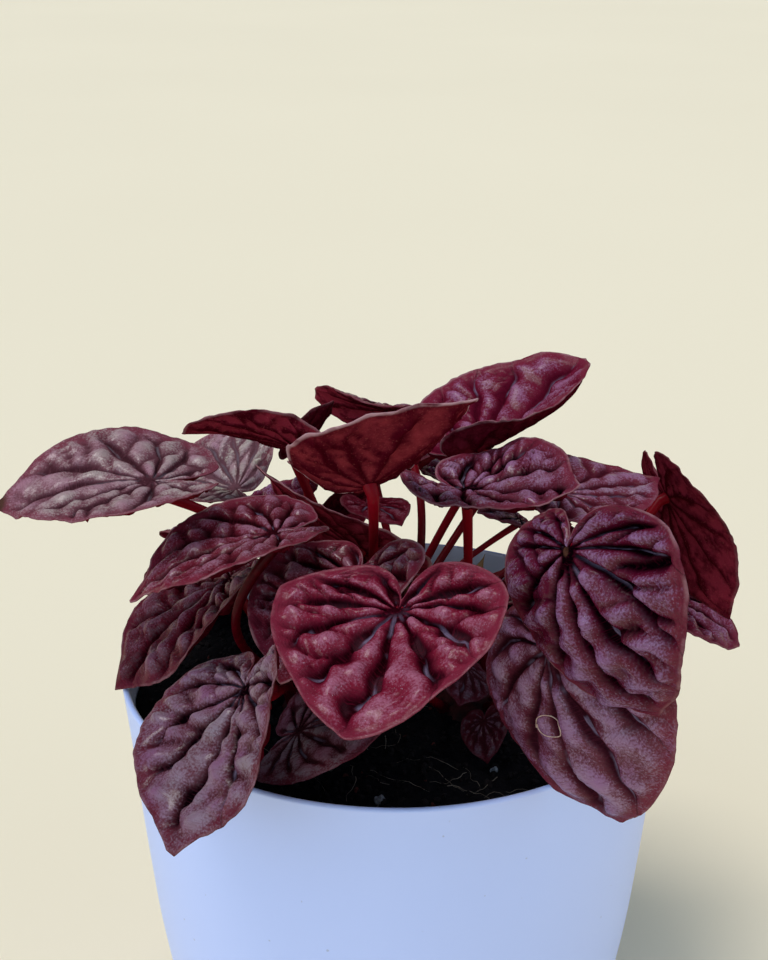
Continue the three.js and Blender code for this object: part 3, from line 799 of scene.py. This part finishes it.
def stalk_line(leaf):
    """The stalk's centreline from its crown into the blade, and its radius along it."""
    radius = YOUNG_STALK_RADIUS if leaf["young"] else STALK_RADIUS
    knee = np.array(leaf["knee"], float)
    blade = leaf_place(leaf)
    upright = np.array(blade.col[2][:3])
    seat = np.array(leaf["at"], float) - upright * 0.25 * BLADE_HALF
    under = seat - upright * 2.2 * radius
    start = np.array([*leaf["root"], STALK_START], float)
    rise = start + STALK_LEAN * (seat - start)
    rise[2] = STALK_START + STALK_RISE * (knee[2] - STALK_START)
    line = np.concatenate([bezier((start, rise, knee, under), STALK_STEPS), seat[None, :]])
    run = np.linspace(0, 1, len(line))
    swell = 1 + 0.45 * (1 - run) ** 5 + 0.35 * run**14 - 0.08 * np.sin(math.pi * run)
    return line, radius * swell, leaf["ripe"]


# Rolled young leaves between the stalks: crown, foot, knee and tip of each.
SPROUTS = (
    ("back", (5, 16), (17, 14, 114), (20.5, 16, 124.5)),
    ("back", (-4, 16), (-9, 12, 108), (-13, 13, 113)),
    ("right", (18, -5), (24, -11, 104), (26, -16, 111)),
    ("left", (-19, -3), (-24, 1, 105), (-27, 2, 112)),
    ("back", (1, 22), (3, 29, 106), (2, 33, 113)),
)
SPROUT_STALK = 0.55
SPROUT_ROLL = 0.75
SPROUT_STEPS = 22


def sprout_line(foot, knee, tip):
    """A thin stalk that ends in a spindle, the rolled blade, drawn out to a point."""
    run = np.linspace(0, 1, SPROUT_STEPS)
    line = bezier(((*foot, STALK_START), knee, tip), SPROUT_STEPS)
    spindle = np.sin(math.pi * np.clip((run - 0.42) / 0.58, 0, 1)) ** 0.8
    point = 1 - 0.92 * ease(run, 0.8, 1)
    return line, (SPROUT_STALK + SPROUT_ROLL * spindle) * point, 1


def stem_mound(crown):
    """The short crowded stem that a crown's stalks rise from, as a lumpy mound."""
    rng = np.random.default_rng(len(crown))
    x, y, share = polar_grid(CROWN_RADIUS, MOUND_RINGS, MOUND_COLUMNS)
    lumps = 0.5 * wobble(x, y, 4.5, rng) + 0.25 * wobble(x, y, 2, rng)
    z = SOIL_TOP - MOUND_SINK + (CROWN_RISE + MOUND_SINK) * (1 - share**2.6) + lumps * (1 - share**4)
    centre_x, centre_y = CROWNS[crown]
    top = as_points(x + centre_x, y + centre_y, z)
    peak = [centre_x, centre_y, SOIL_TOP + CROWN_RISE]
    foot = [centre_x, centre_y, SOIL_TOP - 2 * MOUND_SINK]
    return closed_dome("stem_mound_" + crown, peak, top, foot, MOUND_RINGS, MOUND_COLUMNS)


def closed_dome(name, peak, sheet, foot, rings, columns):
    """A polar sheet of rings closed by a fan at its peak and one at its foot."""
    cap = fan(0, 1, columns)
    base = fan(1 + rings * columns, 1 + (rings - 1) * columns, columns, downwards=True)
    mesh = plain_mesh(name, [peak, *sheet, foot], cap + ring_faces(rings, columns, 1) + base)
    mesh.shade_smooth()
    return mesh


# ---------------------------------------------------------------- finishes


# Per tone: ridge, the ridge tops, part bloom and part painted sheen; slope; furrow, the dark of painted
# shade deep in the furrows; bloom, the silvery cast; line, the vein lines.
UPPER_TONES = {
    "burgundy": dict(ridge=srgb(134, 92, 130), slope=srgb(88, 12, 39), furrow=srgb(8, 1, 4),
                     bloom=srgb(148, 130, 138), line=srgb(126, 110, 134)),
    "wine": dict(ridge=srgb(126, 80, 102), slope=srgb(84, 9, 27), furrow=srgb(8, 1, 3),
                 bloom=srgb(138, 120, 126), line=srgb(118, 106, 128)),
    "silver": dict(ridge=srgb(152, 106, 120), slope=srgb(122, 72, 82), furrow=srgb(52, 22, 28),
                   bloom=srgb(166, 158, 144), line=srgb(108, 94, 102)),
}
# The underside's colour between the puffs, and where light glows through them.
UNDER_TONES = {
    "burgundy": (srgb(66, 3, 18), srgb(140, 40, 60)),
    "wine": (srgb(66, 4, 18), srgb(134, 38, 54)),
    "silver": (srgb(100, 14, 28), srgb(150, 80, 84)),
}
MUTED = srgb(98, 70, 76)
RUSSET = srgb(120, 44, 44)
ROSY = srgb(127, 24, 42)
# Rosy ridge tops: part bloom, part painted sheen.
ROSE_SHEEN_AND_BLOOM = srgb(150, 78, 91)
PAINTED_GLINT = srgb(176, 148, 162)
CRIMSON_HEM = srgb(122, 40, 58)
LEAF_EDGE = srgb(168, 128, 132)
FURROW_FLOOR = srgb(80, 44, 52)
DRIED = srgb(74, 46, 36)
UNDER_VEIN = srgb(56, 2, 8)
UNDER_SPECK = srgb(160, 84, 76)
# Stalk colours: the foot's is painted shade, the top's is the stalk's own crimson.
STALK_FOOT_SHADE, STALK_TOP, STALK_STREAK = srgb(62, 2, 10), srgb(116, 6, 20), srgb(120, 12, 30)
SPROUT_RED, SPROUT_OLIVE = srgb(84, 6, 18), srgb(112, 84, 58)
POT_COOL, POT_PALE, POT_INSIDE_LIGHTENED = srgb(187, 203, 250), srgb(193, 207, 252), srgb(244, 240, 236)
POT_SPECK = srgb(120, 112, 116)
# Peat colours: near black, partly the peat's own dark and partly painted shade from the leaves above.
PEAT_DARK, PEAT_LIGHT, PEAT_BROWN = srgb(4, 3, 6), srgb(13, 10, 13), srgb(40, 30, 28)


def leaf_upper(tone):
    """Painted shade in the furrows, crimson slopes, and ridge tops that are part bloom and part painted
    sheen; finely wrinkled, with painted glints.
    """
    colours = UPPER_TONES[tone]
    leaf = Finish("leaf_upper_" + tone)
    fade, mix, noise = leaf.fade, leaf.mix, leaf.noise
    height, vein, margin, flat, along, across = leaf.attributes("height vein margin flat along across")
    rosy, pale, shade, gloss, rim, dim, dried = leaf.attributes("rosy pale shade gloss rim dim dried")
    patches = noise(4.5, 3)
    grain = noise(0.42, 2)
    wrinkled = leaf.combine(across * (MM / WRINKLE_WIDTH), along * (MM / WRINKLE_GAP), 0.0)
    folds = noise(1, 2, wrinkled)

    slope = mix(rosy * 0.7, mix(pale * 0.6, colours["slope"], MUTED), ROSY)
    bloomed = pale * fade(noise(8, 3), 0.3, 0.7)
    ridge = mix(bloomed, mix(rosy, colours["ridge"], ROSE_SHEEN_AND_BLOOM), colours["bloom"])
    # Painted shade: the colour sinks to the furrow tone towards the bottoms of the furrows.
    lit = fade(height + 0.2 * (patches - 0.5) + 0.3 * (folds - 0.5), 0.28, 0.86)
    body = mix(1 - shade * (1 - lit), colours["furrow"], slope)
    body = mix(flat * 0.4, body, FURROW_FLOOR)
    hem = fade(margin + 3 * (patches - 0.5) + 1.5 * (grain - 0.5), 2.8, 0.4)
    body = mix(hem * 0.5, body, CRIMSON_HEM)
    # Ridge tops take the ridge colour, part the leaf's bloom and part painted sheen where light would catch
    # them.
    sheen_and_bloom = height + 0.25 * pale + 0.8 * (patches - 0.5) + 0.95 * (grain - 0.5) + 0.2 * (folds - 0.5)
    body = mix(fade(sheen_and_bloom, 0.7, 1.28), body, ridge)
    body = mix(fade(folds, 0.5, 0.36) * 0.25, body, slope)
    # Painted glints: small pale specks on the higher parts of the face.
    glint = fade(noise(0.28, 1), 0.66, 0.76) * fade(height, 0.5, 0.9)
    body = mix(glint * 0.45, body, PAINTED_GLINT)
    line = fade(vein, 0.42, 0.1) * fade(margin, 1.5, 4) * fade(noise(6, 2), 0.46, 0.6)
    body = mix(line * fade(along, 0.8, 4) * 0.7, body, colours["line"])
    body = mix(fade(margin, 0.5, 0.05) * fade(patches, 0.35, 0.6) * rim, body, LEAF_EDGE)
    body = mix(fade(dried * (0.6 + 0.8 * patches), 0.2, 0.7), body, DRIED)
    # dim darkens the whole face towards the furrow tone: painted shade for leaves in shadow, partly a darker
    # tone.
    return leaf.made(
        Base_Color=mix(dim, body, colours["furrow"]),
        Roughness=0.48 + 0.3 * (grain - 0.5),
        Normal=leaf.bump(0.5 * folds + 0.4 * noise(1.3, 2) + 0.2 * grain, 0.55),
        IOR=1.0,
        Coat_Weight=gloss * fade(height + 0.6 * (grain - 0.5), 0.35, 1.0),
        Coat_Roughness=0.25,
    )


def leaf_under(tone):
    """Smooth juicy wine red: the puffs glow through, the veins stand out darker."""
    deep, lit = UNDER_TONES[tone]
    leaf = Finish("leaf_under_" + tone)
    fade, mix, noise = leaf.fade, leaf.mix, leaf.noise
    height, vein, margin, dried, pale, glow, rim = leaf.attributes("height vein margin dried pale glow rim")
    patches = noise(5, 3)
    grain = noise(0.5, 2)
    mottled = noise(1.4, 3)
    # Painted light: the under face lightens towards the glow tone where light would shine through the puffs,
    # with light specks where it glows most.
    glowing = fade(height + 1.2 * (patches - 0.5) + 1.1 * (mottled - 0.5), 0.2, 1.4)
    body = mix(glowing * glow, deep, mix(pale, lit, RUSSET))
    body = mix(fade(vein, 0.7, 0.2) * 0.3, body, UNDER_VEIN)
    body = mix(fade(noise(0.35, 1), 0.62, 0.74) * glow * 0.2, body, UNDER_SPECK)
    body = mix(fade(margin, 0.6, 0.1) * fade(patches, 0.3, 0.55) * rim, body, LEAF_EDGE)
    return leaf.made(
        Base_Color=mix(fade(dried, 0.3, 0.8), body, DRIED),
        Roughness=0.42 + 0.2 * (grain - 0.5),
        Normal=leaf.bump(0.6 * mottled + 0.4 * grain, 0.25),
        IOR=1.0,
    )


def stalk_finish():
    """Juicy crimson, with painted shade that darkens it towards the foot, and faint streaks along it."""
    stalk = Finish("stalk_crimson")
    streaks = stalk.noise(1.2, 3)
    (run,) = stalk.attributes("run")
    # Painted shade: the stalk is darker towards its foot, and stays dark up to where its run ends.
    body = stalk.mix(stalk.fade(run, 0.3, 0.95), STALK_FOOT_SHADE, STALK_TOP)
    return stalk.made(
        Base_Color=stalk.mix(stalk.fade(streaks, 0.45, 0.8) * 0.3, body, STALK_STREAK),
        Roughness=0.34 + 0.14 * (streaks - 0.5),
        Normal=stalk.bump(streaks, 0.06),
        IOR=1.0,
        Coat_Weight=0.15,
        Coat_Roughness=0.3,
    )


def sprout_finish():
    """Red below, olive brown towards the tip, finely ribbed along."""
    sprout = Finish("sprout_olive")
    streaks = sprout.noise(0.7, 3)
    (run,) = sprout.attributes("run")
    body = sprout.mix(sprout.fade(run + 0.3 * (streaks - 0.5), 0.5, 0.85), SPROUT_RED, SPROUT_OLIVE)
    return sprout.made(Base_Color=body, Roughness=0.6, Normal=sprout.bump(streaks, 0.2), IOR=1.0)


def pot_finish():
    """Bluish white moulded plastic, satin, with the odd speck of soil; the inner wall is painted lighter and
    warmer against its shade.
    """
    pot = Finish("pot_white_plastic")
    clouds = pot.noise(38, 2)
    # Painted light: faces inside the pot are lightened towards a warm white, against the shade and blue cast
    # there.
    body = pot.mix(pot.inwards() * 0.7, pot.mix(clouds, POT_COOL, POT_PALE), POT_INSIDE_LIGHTENED)
    return pot.made(
        Base_Color=pot.mix(pot.fade(pot.noise(1.6, 1), 0.78, 0.83) * 0.35, body, POT_SPECK),
        Roughness=0.4 + 0.1 * (clouds - 0.5),
        Normal=pot.bump(pot.noise(0.9, 2), 0.012),
    )


def soil_finish():
    soil = Finish("peat_dark")
    lumps = soil.noise(2.4, 4)
    # The near-black peat is partly painted shade under the leaves.
    body = soil.mix(soil.fade(lumps, 0.35, 0.75), PEAT_DARK, PEAT_LIGHT)
    return soil.made(
        Base_Color=soil.mix(soil.fade(soil.noise(0.8, 2), 0.68, 0.8) * 0.4, body, PEAT_BROWN),
        Roughness=0.9,
        Normal=soil.bump(lumps + 0.5 * soil.noise(0.6, 3), 0.5),
        Specular_IOR_Level=0.08,
    )


def plain_finish(name, dark, light, size, roughness, depth):
    """Two tones in lumps of that size, with matching relief."""
    finish = Finish(name)
    lumps = finish.noise(size, 3)
    return finish.made(
        Base_Color=finish.mix(finish.fade(lumps, 0.3, 0.7), srgb(*dark), srgb(*light)),
        Roughness=roughness,
        Normal=finish.bump(lumps, depth),
        Specular_IOR_Level=0.12,
    )


# ---------------------------------------------------------------- pot


def lathe_recipe():
    """Turns a profile, a line of points with X for radius and Z for height, about the upright axis."""
    recipe = Recipe("Turned profile", Int="Sides", Material="Finish")
    sides = recipe.given("Sides")
    count = recipe.add("GeometryNodeAttributeDomainSize", {"Geometry": recipe.start})
    sheet = recipe.add("GeometryNodeMeshGrid", {
        "Size X": 1.0, "Size Y": 1.0, "Vertices X": sides + 1, "Vertices Y": count,
    })
    index = recipe.add("GeometryNodeInputIndex")
    row = recipe.math("MODULO", index, count)
    sockets = {"Geometry": recipe.start, "Value": recipe.position(), "Index": row}
    profile = recipe.add("GeometryNodeSampleIndex", sockets, data_type="FLOAT_VECTOR")
    radius, _, height = recipe.parts(profile)
    angle = recipe.math("FLOOR", (index + 0.5) / count) * TAU / sides
    x, y = radius * recipe.math("COSINE", angle), radius * recipe.math("SINE", angle)
    shell = recipe.moved(sheet, Position=recipe.combine(x, y, height))
    shell = recipe.add("GeometryNodeMergeByDistance", {"Geometry": shell, "Distance": 1e-6})
    return recipe.ends_in(recipe.painted(recipe.real(recipe.smooth(shell)), "Finish"))


def pot_side(inset, base):
    """The side's profile from the rounded foot up, moved in from the pot's outer skin."""
    points = []
    for angle in np.linspace(0, math.pi / 2, FOOT_STEPS):
        radius = FOOT_RADIUS - inset - FOOT_ROUND * (1 - math.sin(angle))
        points.append((radius, base + FOOT_ROUND * (1 - math.cos(angle))))
    heights = np.linspace(base + FOOT_ROUND + 4, RIM_HEIGHT - LIP, SIDE_STEPS)
    knots = [(FOOT_ROUND, FOOT_RADIUS), *POT_SIDE, (RIM_HEIGHT, RIM_RADIUS)]
    points.extend(zip(curve_through(knots, heights) - inset, heights))
    return points


def build_pot(recipe, finish):
    half = WALL / 2
    lip = [
        (RIM_RADIUS - half + half * math.sin(angle), RIM_HEIGHT - LIP + LIP * math.cos(angle))
        for angle in np.linspace(math.pi / 2, -math.pi / 2, LIP_STEPS)[1:-1]
    ]
    profile = [(0, 0), *pot_side(0, 0), *lip, *reversed(pot_side(WALL, FLOOR)), (0, FLOOR)]
    points = [(radius, 0, height) for radius, height in profile]
    start = plain_mesh("pot_profile", points, edges=chain(0, len(points)))
    mesh = recipe.grow(start, "pot_shell", Sides=POT_SIDES, Finish=finish)
    return dressed("pot_shell", mesh, "pot_plastic", "pot")


# ---------------------------------------------------------------- soil


def soil_height(x, y):
    """The soil's gentle mounds, with crumbs on them."""
    rng = np.random.default_rng(SOIL_SEED)
    mounds = 0.65 * np.sin(0.21 * x + 1.1) * np.cos(0.17 * y - 0.4) + 0.35 * np.sin(0.43 * x - 0.31 * y)
    crumbs = 0.3 * wobble(x, y, 5, rng) + 0.25 * wobble(x, y, 2.3, rng, 9)
    return SOIL_TOP + SOIL_RELIEF * mounds + crumbs


def build_soil(finish):
    """A bed that fills the pot, with a lumpy top."""
    side = pot_side(WALL + SOIL_GAP, FLOOR + SOIL_GAP)
    radius = float(np.interp(SOIL_TOP, [height for _, height in side], [reach for reach, _ in side]))
    x, y, _ = polar_grid(radius, SOIL_RINGS, SOIL_COLUMNS, 0.5)
    below = [(reach, height) for reach, height in reversed(side) if height < SOIL_TOP - 3]
    angle = around(SOIL_COLUMNS)
    rings = [as_points(x, y, soil_height(x, y))]
    for reach, height in below:
        rings.append(as_points(reach * np.cos(angle), reach * np.sin(angle), np.full(SOIL_COLUMNS, height)))
    peak = [0, 0, soil_height(0.0, 0.0)]
    foot = [0, 0, FLOOR + SOIL_GAP]
    mesh = closed_dome("soil_bed", peak, np.concatenate(rings), foot, SOIL_RINGS + len(below), SOIL_COLUMNS)
    mesh.materials.append(finish)
    return dressed("soil_bed", mesh, "potting_soil", "soil")


def crumb_recipe():
    """Scatters rough chunks over the start mesh, each half sunk in it."""
    sizes = "Density Smallest Largest Roughness"
    recipe = Recipe("Scattered crumbs", Float=sizes, Int="Seed", Material="Finish")
    seed = recipe.given("Seed")
    sockets = {"Mesh": recipe.start, "Density": recipe.given("Density"), "Seed": seed}
    points = recipe.add("GeometryNodeDistributePointsOnFaces", sockets)
    chunk = recipe.add("GeometryNodeMeshIcoSphere", {"Radius": 1.0, "Subdivisions": 1})
    turns = [recipe.chance(0.0, TAU, seed + place) for place in (1, 2, 3)]
    size = recipe.chance(recipe.given("Smallest"), recipe.given("Largest"), seed + 4)
    placed = recipe.real(recipe.add("GeometryNodeInstanceOnPoints", {
        "Points": points, "Instance": chunk,
        "Rotation": recipe.combine(*turns),
        "Scale": recipe.combine(size, size * recipe.chance(0.6, 1.0, seed + 5), size * 0.7),
    }))
    sockets = {"Vector": recipe.position(), "Scale": CRUMB_NOISE, "Detail": 1.0}
    noise = recipe.add("ShaderNodeTexNoise", sockets, 1)
    sockets = {0: recipe.vector("SUBTRACT", noise, (0.5, 0.5, 0.5)), "Scale": recipe.given("Roughness")}
    broken = recipe.moved(placed, Offset=recipe.add("ShaderNodeVectorMath", sockets, operation="SCALE"))
    return recipe.ends_in(recipe.painted(recipe.real(broken), "Finish"))


def fibre_line(rng, x, y, heading, length, radius):
    """A root fibre that wanders over the soil, inside the pot, and lifts off it here and there."""
    steps = max(8, int(length / 1.2))
    headings = heading + np.cumsum(rng.normal(0, 0.3, steps))
    line_x = x + np.cumsum(np.cos(headings)) * length / steps
    line_y = y + np.cumsum(np.sin(headings)) * length / steps
    inside = np.minimum(1, (RIM_RADIUS - WALL - 3) / np.hypot(line_x, line_y))
    line_x, line_y = line_x * inside, line_y * inside
    lift = np.abs(np.sin(np.linspace(0, rng.uniform(3, 7), steps) + rng.uniform(0, TAU)))
    lift = lift * rng.uniform(0.2, 1.0)
    points = as_points(line_x, line_y, soil_height(line_x, line_y) + lift)
    return points, radius * np.linspace(1, 0.5, steps), 1


# Root fibres that show in front: where each starts, its heading in degrees, its length and its radius.
FRONT_FIBRES = (
    (-9, -29, -100, 15, 0.1), (-5, -31, -108, 12, 0.08), (6, -30, -40, 13, 0.09), (15, -31, -140, 11, 0.08),
    (9, -38, 20, 12, 0.09), (20, -39, -5, 10, 0.08), (26, -41, 160, 9, 0.08), (0, -36, -20, 8, 0.07),
)
# A loop of hair on the right hanging leaf: its centre and half sizes across and along the blade.
LOOP_CENTRE = (1.9, 14)
LOOP_SIZE = (2.9, 1.9)
LOOP_TURNS, LOOP_STEPS = 1.05, 48
HAIR_RADIUS = 0.09
ABOVE_BLADE = 30
# Loose fibres all over: how many, how far out, and their least and greatest length and radius.
LOOSE_FIBRES = 46
LOOSE_REACH = 52
LOOSE_LENGTH = (6, 16)
LOOSE_RADIUS = (0.06, 0.1)
# Pale grains: where each lies, and its radius.
PERLITE = ((-3, -42, 1.1), (20, -31.5, 0.8), (-30, 26, 1.0), (34, 18, 0.9), (-40, -8, 0.8), (8, 41, 1.0))


def fibre_lines():
    rng = np.random.default_rng(FIBRE_SEED)
    lines = [fibre_line(rng, x, y, math.radians(heading), length, radius)
             for x, y, heading, length, radius in FRONT_FIBRES]
    for _ in range(LOOSE_FIBRES):
        out = LOOSE_REACH * math.sqrt(rng.uniform())
        angle, heading = rng.uniform(0, TAU, 2)
        x, y = out * math.cos(angle), out * math.sin(angle)
        lines.append(fibre_line(rng, x, y, heading, rng.uniform(*LOOSE_LENGTH), rng.uniform(*LOOSE_RADIUS)))
    return lines


def build_crumbs(recipe, name, finish, density, smallest, largest, seed):
    """Crumbs scattered over the soil's top, short of the pot's wall."""
    x, y, _ = polar_grid(CRUMBS_REACH * (RIM_RADIUS - WALL), GROUND_RINGS, GROUND_COLUMNS)
    faces = ring_faces(GROUND_RINGS, GROUND_COLUMNS, 0)
    mesh = recipe.grow(
        plain_mesh("ground", as_points(x, y, soil_height(x, y)), faces), name, Density=density,
        Smallest=smallest * MM, Largest=largest * MM, Roughness=CRUMB_ROUGH * largest * MM, Seed=seed,
        Finish=finish,
    )
    return dressed(name, mesh, "potting_soil")


def build_perlite(finish):
    """A few pale grains, each a small rough lump half sunk in the soil."""
    rng = np.random.default_rng(PERLITE_SEED)
    blank = bmesh.new()
    for x, y, size in PERLITE:
        place = Matrix.Translation(Vector((x, y, float(soil_height(float(x), float(y))))) * MM)
        grown = bmesh.ops.create_icosphere(blank, subdivisions=3, radius=size * MM, matrix=place)
        middle = place.translation
        for corner in grown["verts"]:
            away = corner.co - middle
            dents = 0.16 * math.sin(5200 * away.x + rng.uniform(0, 0.6))
            dents += 0.12 * math.sin(6100 * away.y + 2 * x)
            corner.co = middle + away * (1 + dents)
    mesh = bpy.data.meshes.new("perlite")
    blank.to_mesh(mesh)
    blank.free()
    mesh.materials.append(finish)
    return dressed("perlite", mesh, "potting_soil")


def hair_loop(leaf):
    """A fine hair curled into a loop that lies across the ridges of a blade's upper face."""
    tree = BVHTree.FromObject(leaf["blade"], bpy.context.evaluated_depsgraph_get())
    place = leaf_place(leaf)
    down = -place.col[2].to_3d()
    angle = np.linspace(0, LOOP_TURNS * TAU, LOOP_STEPS)
    size = 1 + 0.05 * np.sin(2 * angle + 1) + 0.03 * np.sin(3 * angle) + 0.07 * angle / TAU
    x = LOOP_CENTRE[0] + LOOP_SIZE[0] * size * np.cos(angle)
    y = LOOP_CENTRE[1] + LOOP_SIZE[1] * size * np.sin(angle)
    above = [place @ (Vector((*spot, ABOVE_BLADE)) * MM) for spot in zip(x, y)]
    depth = np.array([tree.ray_cast(start, down)[3] for start in above]) / MM
    slack = np.convolve(np.concatenate([depth[-5:], depth, depth[:5]]), np.full(11, 1 / 11), "valid")
    depth = np.minimum(depth, slack) - HAIR_RADIUS
    points = [(start + down * deep * MM) / MM for start, deep in zip(above, depth)]
    return np.array(points), np.full(len(points), HAIR_RADIUS), 1


# ---------------------------------------------------------------- the plant

STALK = stalk_finish()
SPROUT = sprout_finish()
STEM = plain_finish("stem_brown", (26, 8, 8), (64, 18, 18), 3, 0.6, 0.2)
# Crumbs as dark as the peat: partly their own colour, partly painted shade.
CRUMB = plain_finish("peat_crumb", (5, 4, 6), (24, 18, 19), 1.5, 0.9, 0.2)
BARK = plain_finish("bark_red", (40, 14, 14), (74, 30, 26), 2, 0.8, 0.2)
ROOT = plain_finish("root_pale", (66, 58, 52), (112, 102, 92), 3, 0.7, 0.02)
HAIR = plain_finish("hair_pale", (176, 140, 128), (206, 180, 164), 1, 0.6, 0.01)
GRAIN = plain_finish("perlite_white", (88, 90, 96), (130, 131, 136), 0.8, 0.9, 0.1)
bent_blade = blade_recipe()
tubes = sweep_recipe()
crumbs = crumb_recipe()

for tone in UPPER_TONES:
    upper, under = leaf_upper(tone), leaf_under(tone)
    for leaf in LEAVES:
        if leaf["tone"] == tone:
            leaf["blade"] = build_leaf(leaf, bent_blade, upper, under)

for crown in CROWNS:
    lines = [stalk_line(leaf) for leaf in LEAVES if leaf["crown"] == crown]
    build_tubes(tubes, "stalks_" + crown, lines, STALK_SIDES, STALK, "leaf_stalk", "crown_" + crown)
    lines = [sprout_line(*corners) for place, *corners in SPROUTS if place == crown]
    build_tubes(tubes, "sprouts_" + crown, lines, SPROUT_SIDES, SPROUT, "leaf_stalk")
    mound = stem_mound(crown)
    mound.materials.append(STEM)
    dressed("stem_mound_" + crown, mound, "leaf_stalk")

build_pot(lathe_recipe(), pot_finish())
build_soil(soil_finish())
build_crumbs(crumbs, "peat_crumbs", CRUMB, density=190000.0, smallest=0.35, largest=1.15, seed=3)
build_crumbs(crumbs, "bark_bits", BARK, density=9000.0, smallest=0.3, largest=0.9, seed=9)
build_tubes(tubes, "root_fibres", fibre_lines(), FIBRE_SIDES, ROOT, "potting_soil")
loop_leaf = next(leaf for leaf in LEAVES if leaf["name"] == "leaf_front_right_hanging")
build_tubes(tubes, "hair_loop", [hair_loop(loop_leaf)], HAIR_SIDES, HAIR, "potting_soil")
build_perlite(GRAIN)

# ---------------------------------------------------------------- floor, light and camera


FLOOR_HALF = 40000
BACKDROP = srgb(235, 231, 213)
ROOM = (0.23, 0.292, 0.36, 1.0)
# Sines of the height above the horizon between which the backdrop gives way to the room.
BACKDROP_FADE = (0.1, 0.22)
NEUTRAL, COOL = (1.0, 0.99, 0.97), (0.58, 0.77, 1.0)
# Name, energy, spread in degrees, the way the light goes, and its colour.
WINDOWS = (
    ("skylight", 1.83, 30, (0.25, 0.12, -1.0), NEUTRAL),
    ("side_window", 1.5, 70, (0.68, 0.66, -0.4), COOL),
    ("far_window", 0.95, 80, (-0.9, 0.36, -0.3), COOL),
)
CAMERA_PLACE = (-0.0023, -0.2813, 0.2626)
CAMERA_PITCH = 68
CAMERA_LENS = 54.4


def build_floor():
    span = FLOOR_HALF
    corners = [(-span, -span, 0), (span, -span, 0), (span, span, 0), (-span, span, 0)]
    floor = new_object("floor", plain_mesh("floor", corners, [(0, 1, 2, 3)]))
    floor.data.materials.append(plain_finish("floor_pale", (235, 220, 192), (237, 222, 194), 900, 0.9, 0))


def build_light():
    """A pale low backdrop, a dim soft room, a bright skylight and a weaker, cooler window on each side."""
    world = bpy.data.worlds.new("soft_room")
    world.use_nodes = True
    room = Maker(world.node_tree)
    up = room.parts(room.add("ShaderNodeTexCoord", output="Generated"))[2]
    colour = room.mix(room.fade(up, *BACKDROP_FADE), BACKDROP, ROOM)
    room.feed(world.node_tree.nodes["Background"].inputs["Color"], colour)
    bpy.context.scene.world = world
    bpy.context.scene.view_settings.view_transform = "Standard"
    for name, energy, spread, towards, tint in WINDOWS:
        light = bpy.data.lights.new(name, "SUN")
        light.angle = math.radians(spread)
        light.energy = energy
        light.color = tint
        new_object(name, light).rotation_euler = Vector(towards).to_track_quat("-Z", "Y").to_euler()


def build_camera():
    camera = bpy.data.cameras.new("camera")
    camera.sensor_width = 36
    camera.lens = CAMERA_LENS
    camera.clip_start = 0.01
    stand = new_object("camera", camera)
    stand.location = CAMERA_PLACE
    stand.rotation_euler = (math.radians(CAMERA_PITCH), 0, 0)
    bpy.context.scene.camera = stand


build_floor()
build_light()
build_camera()
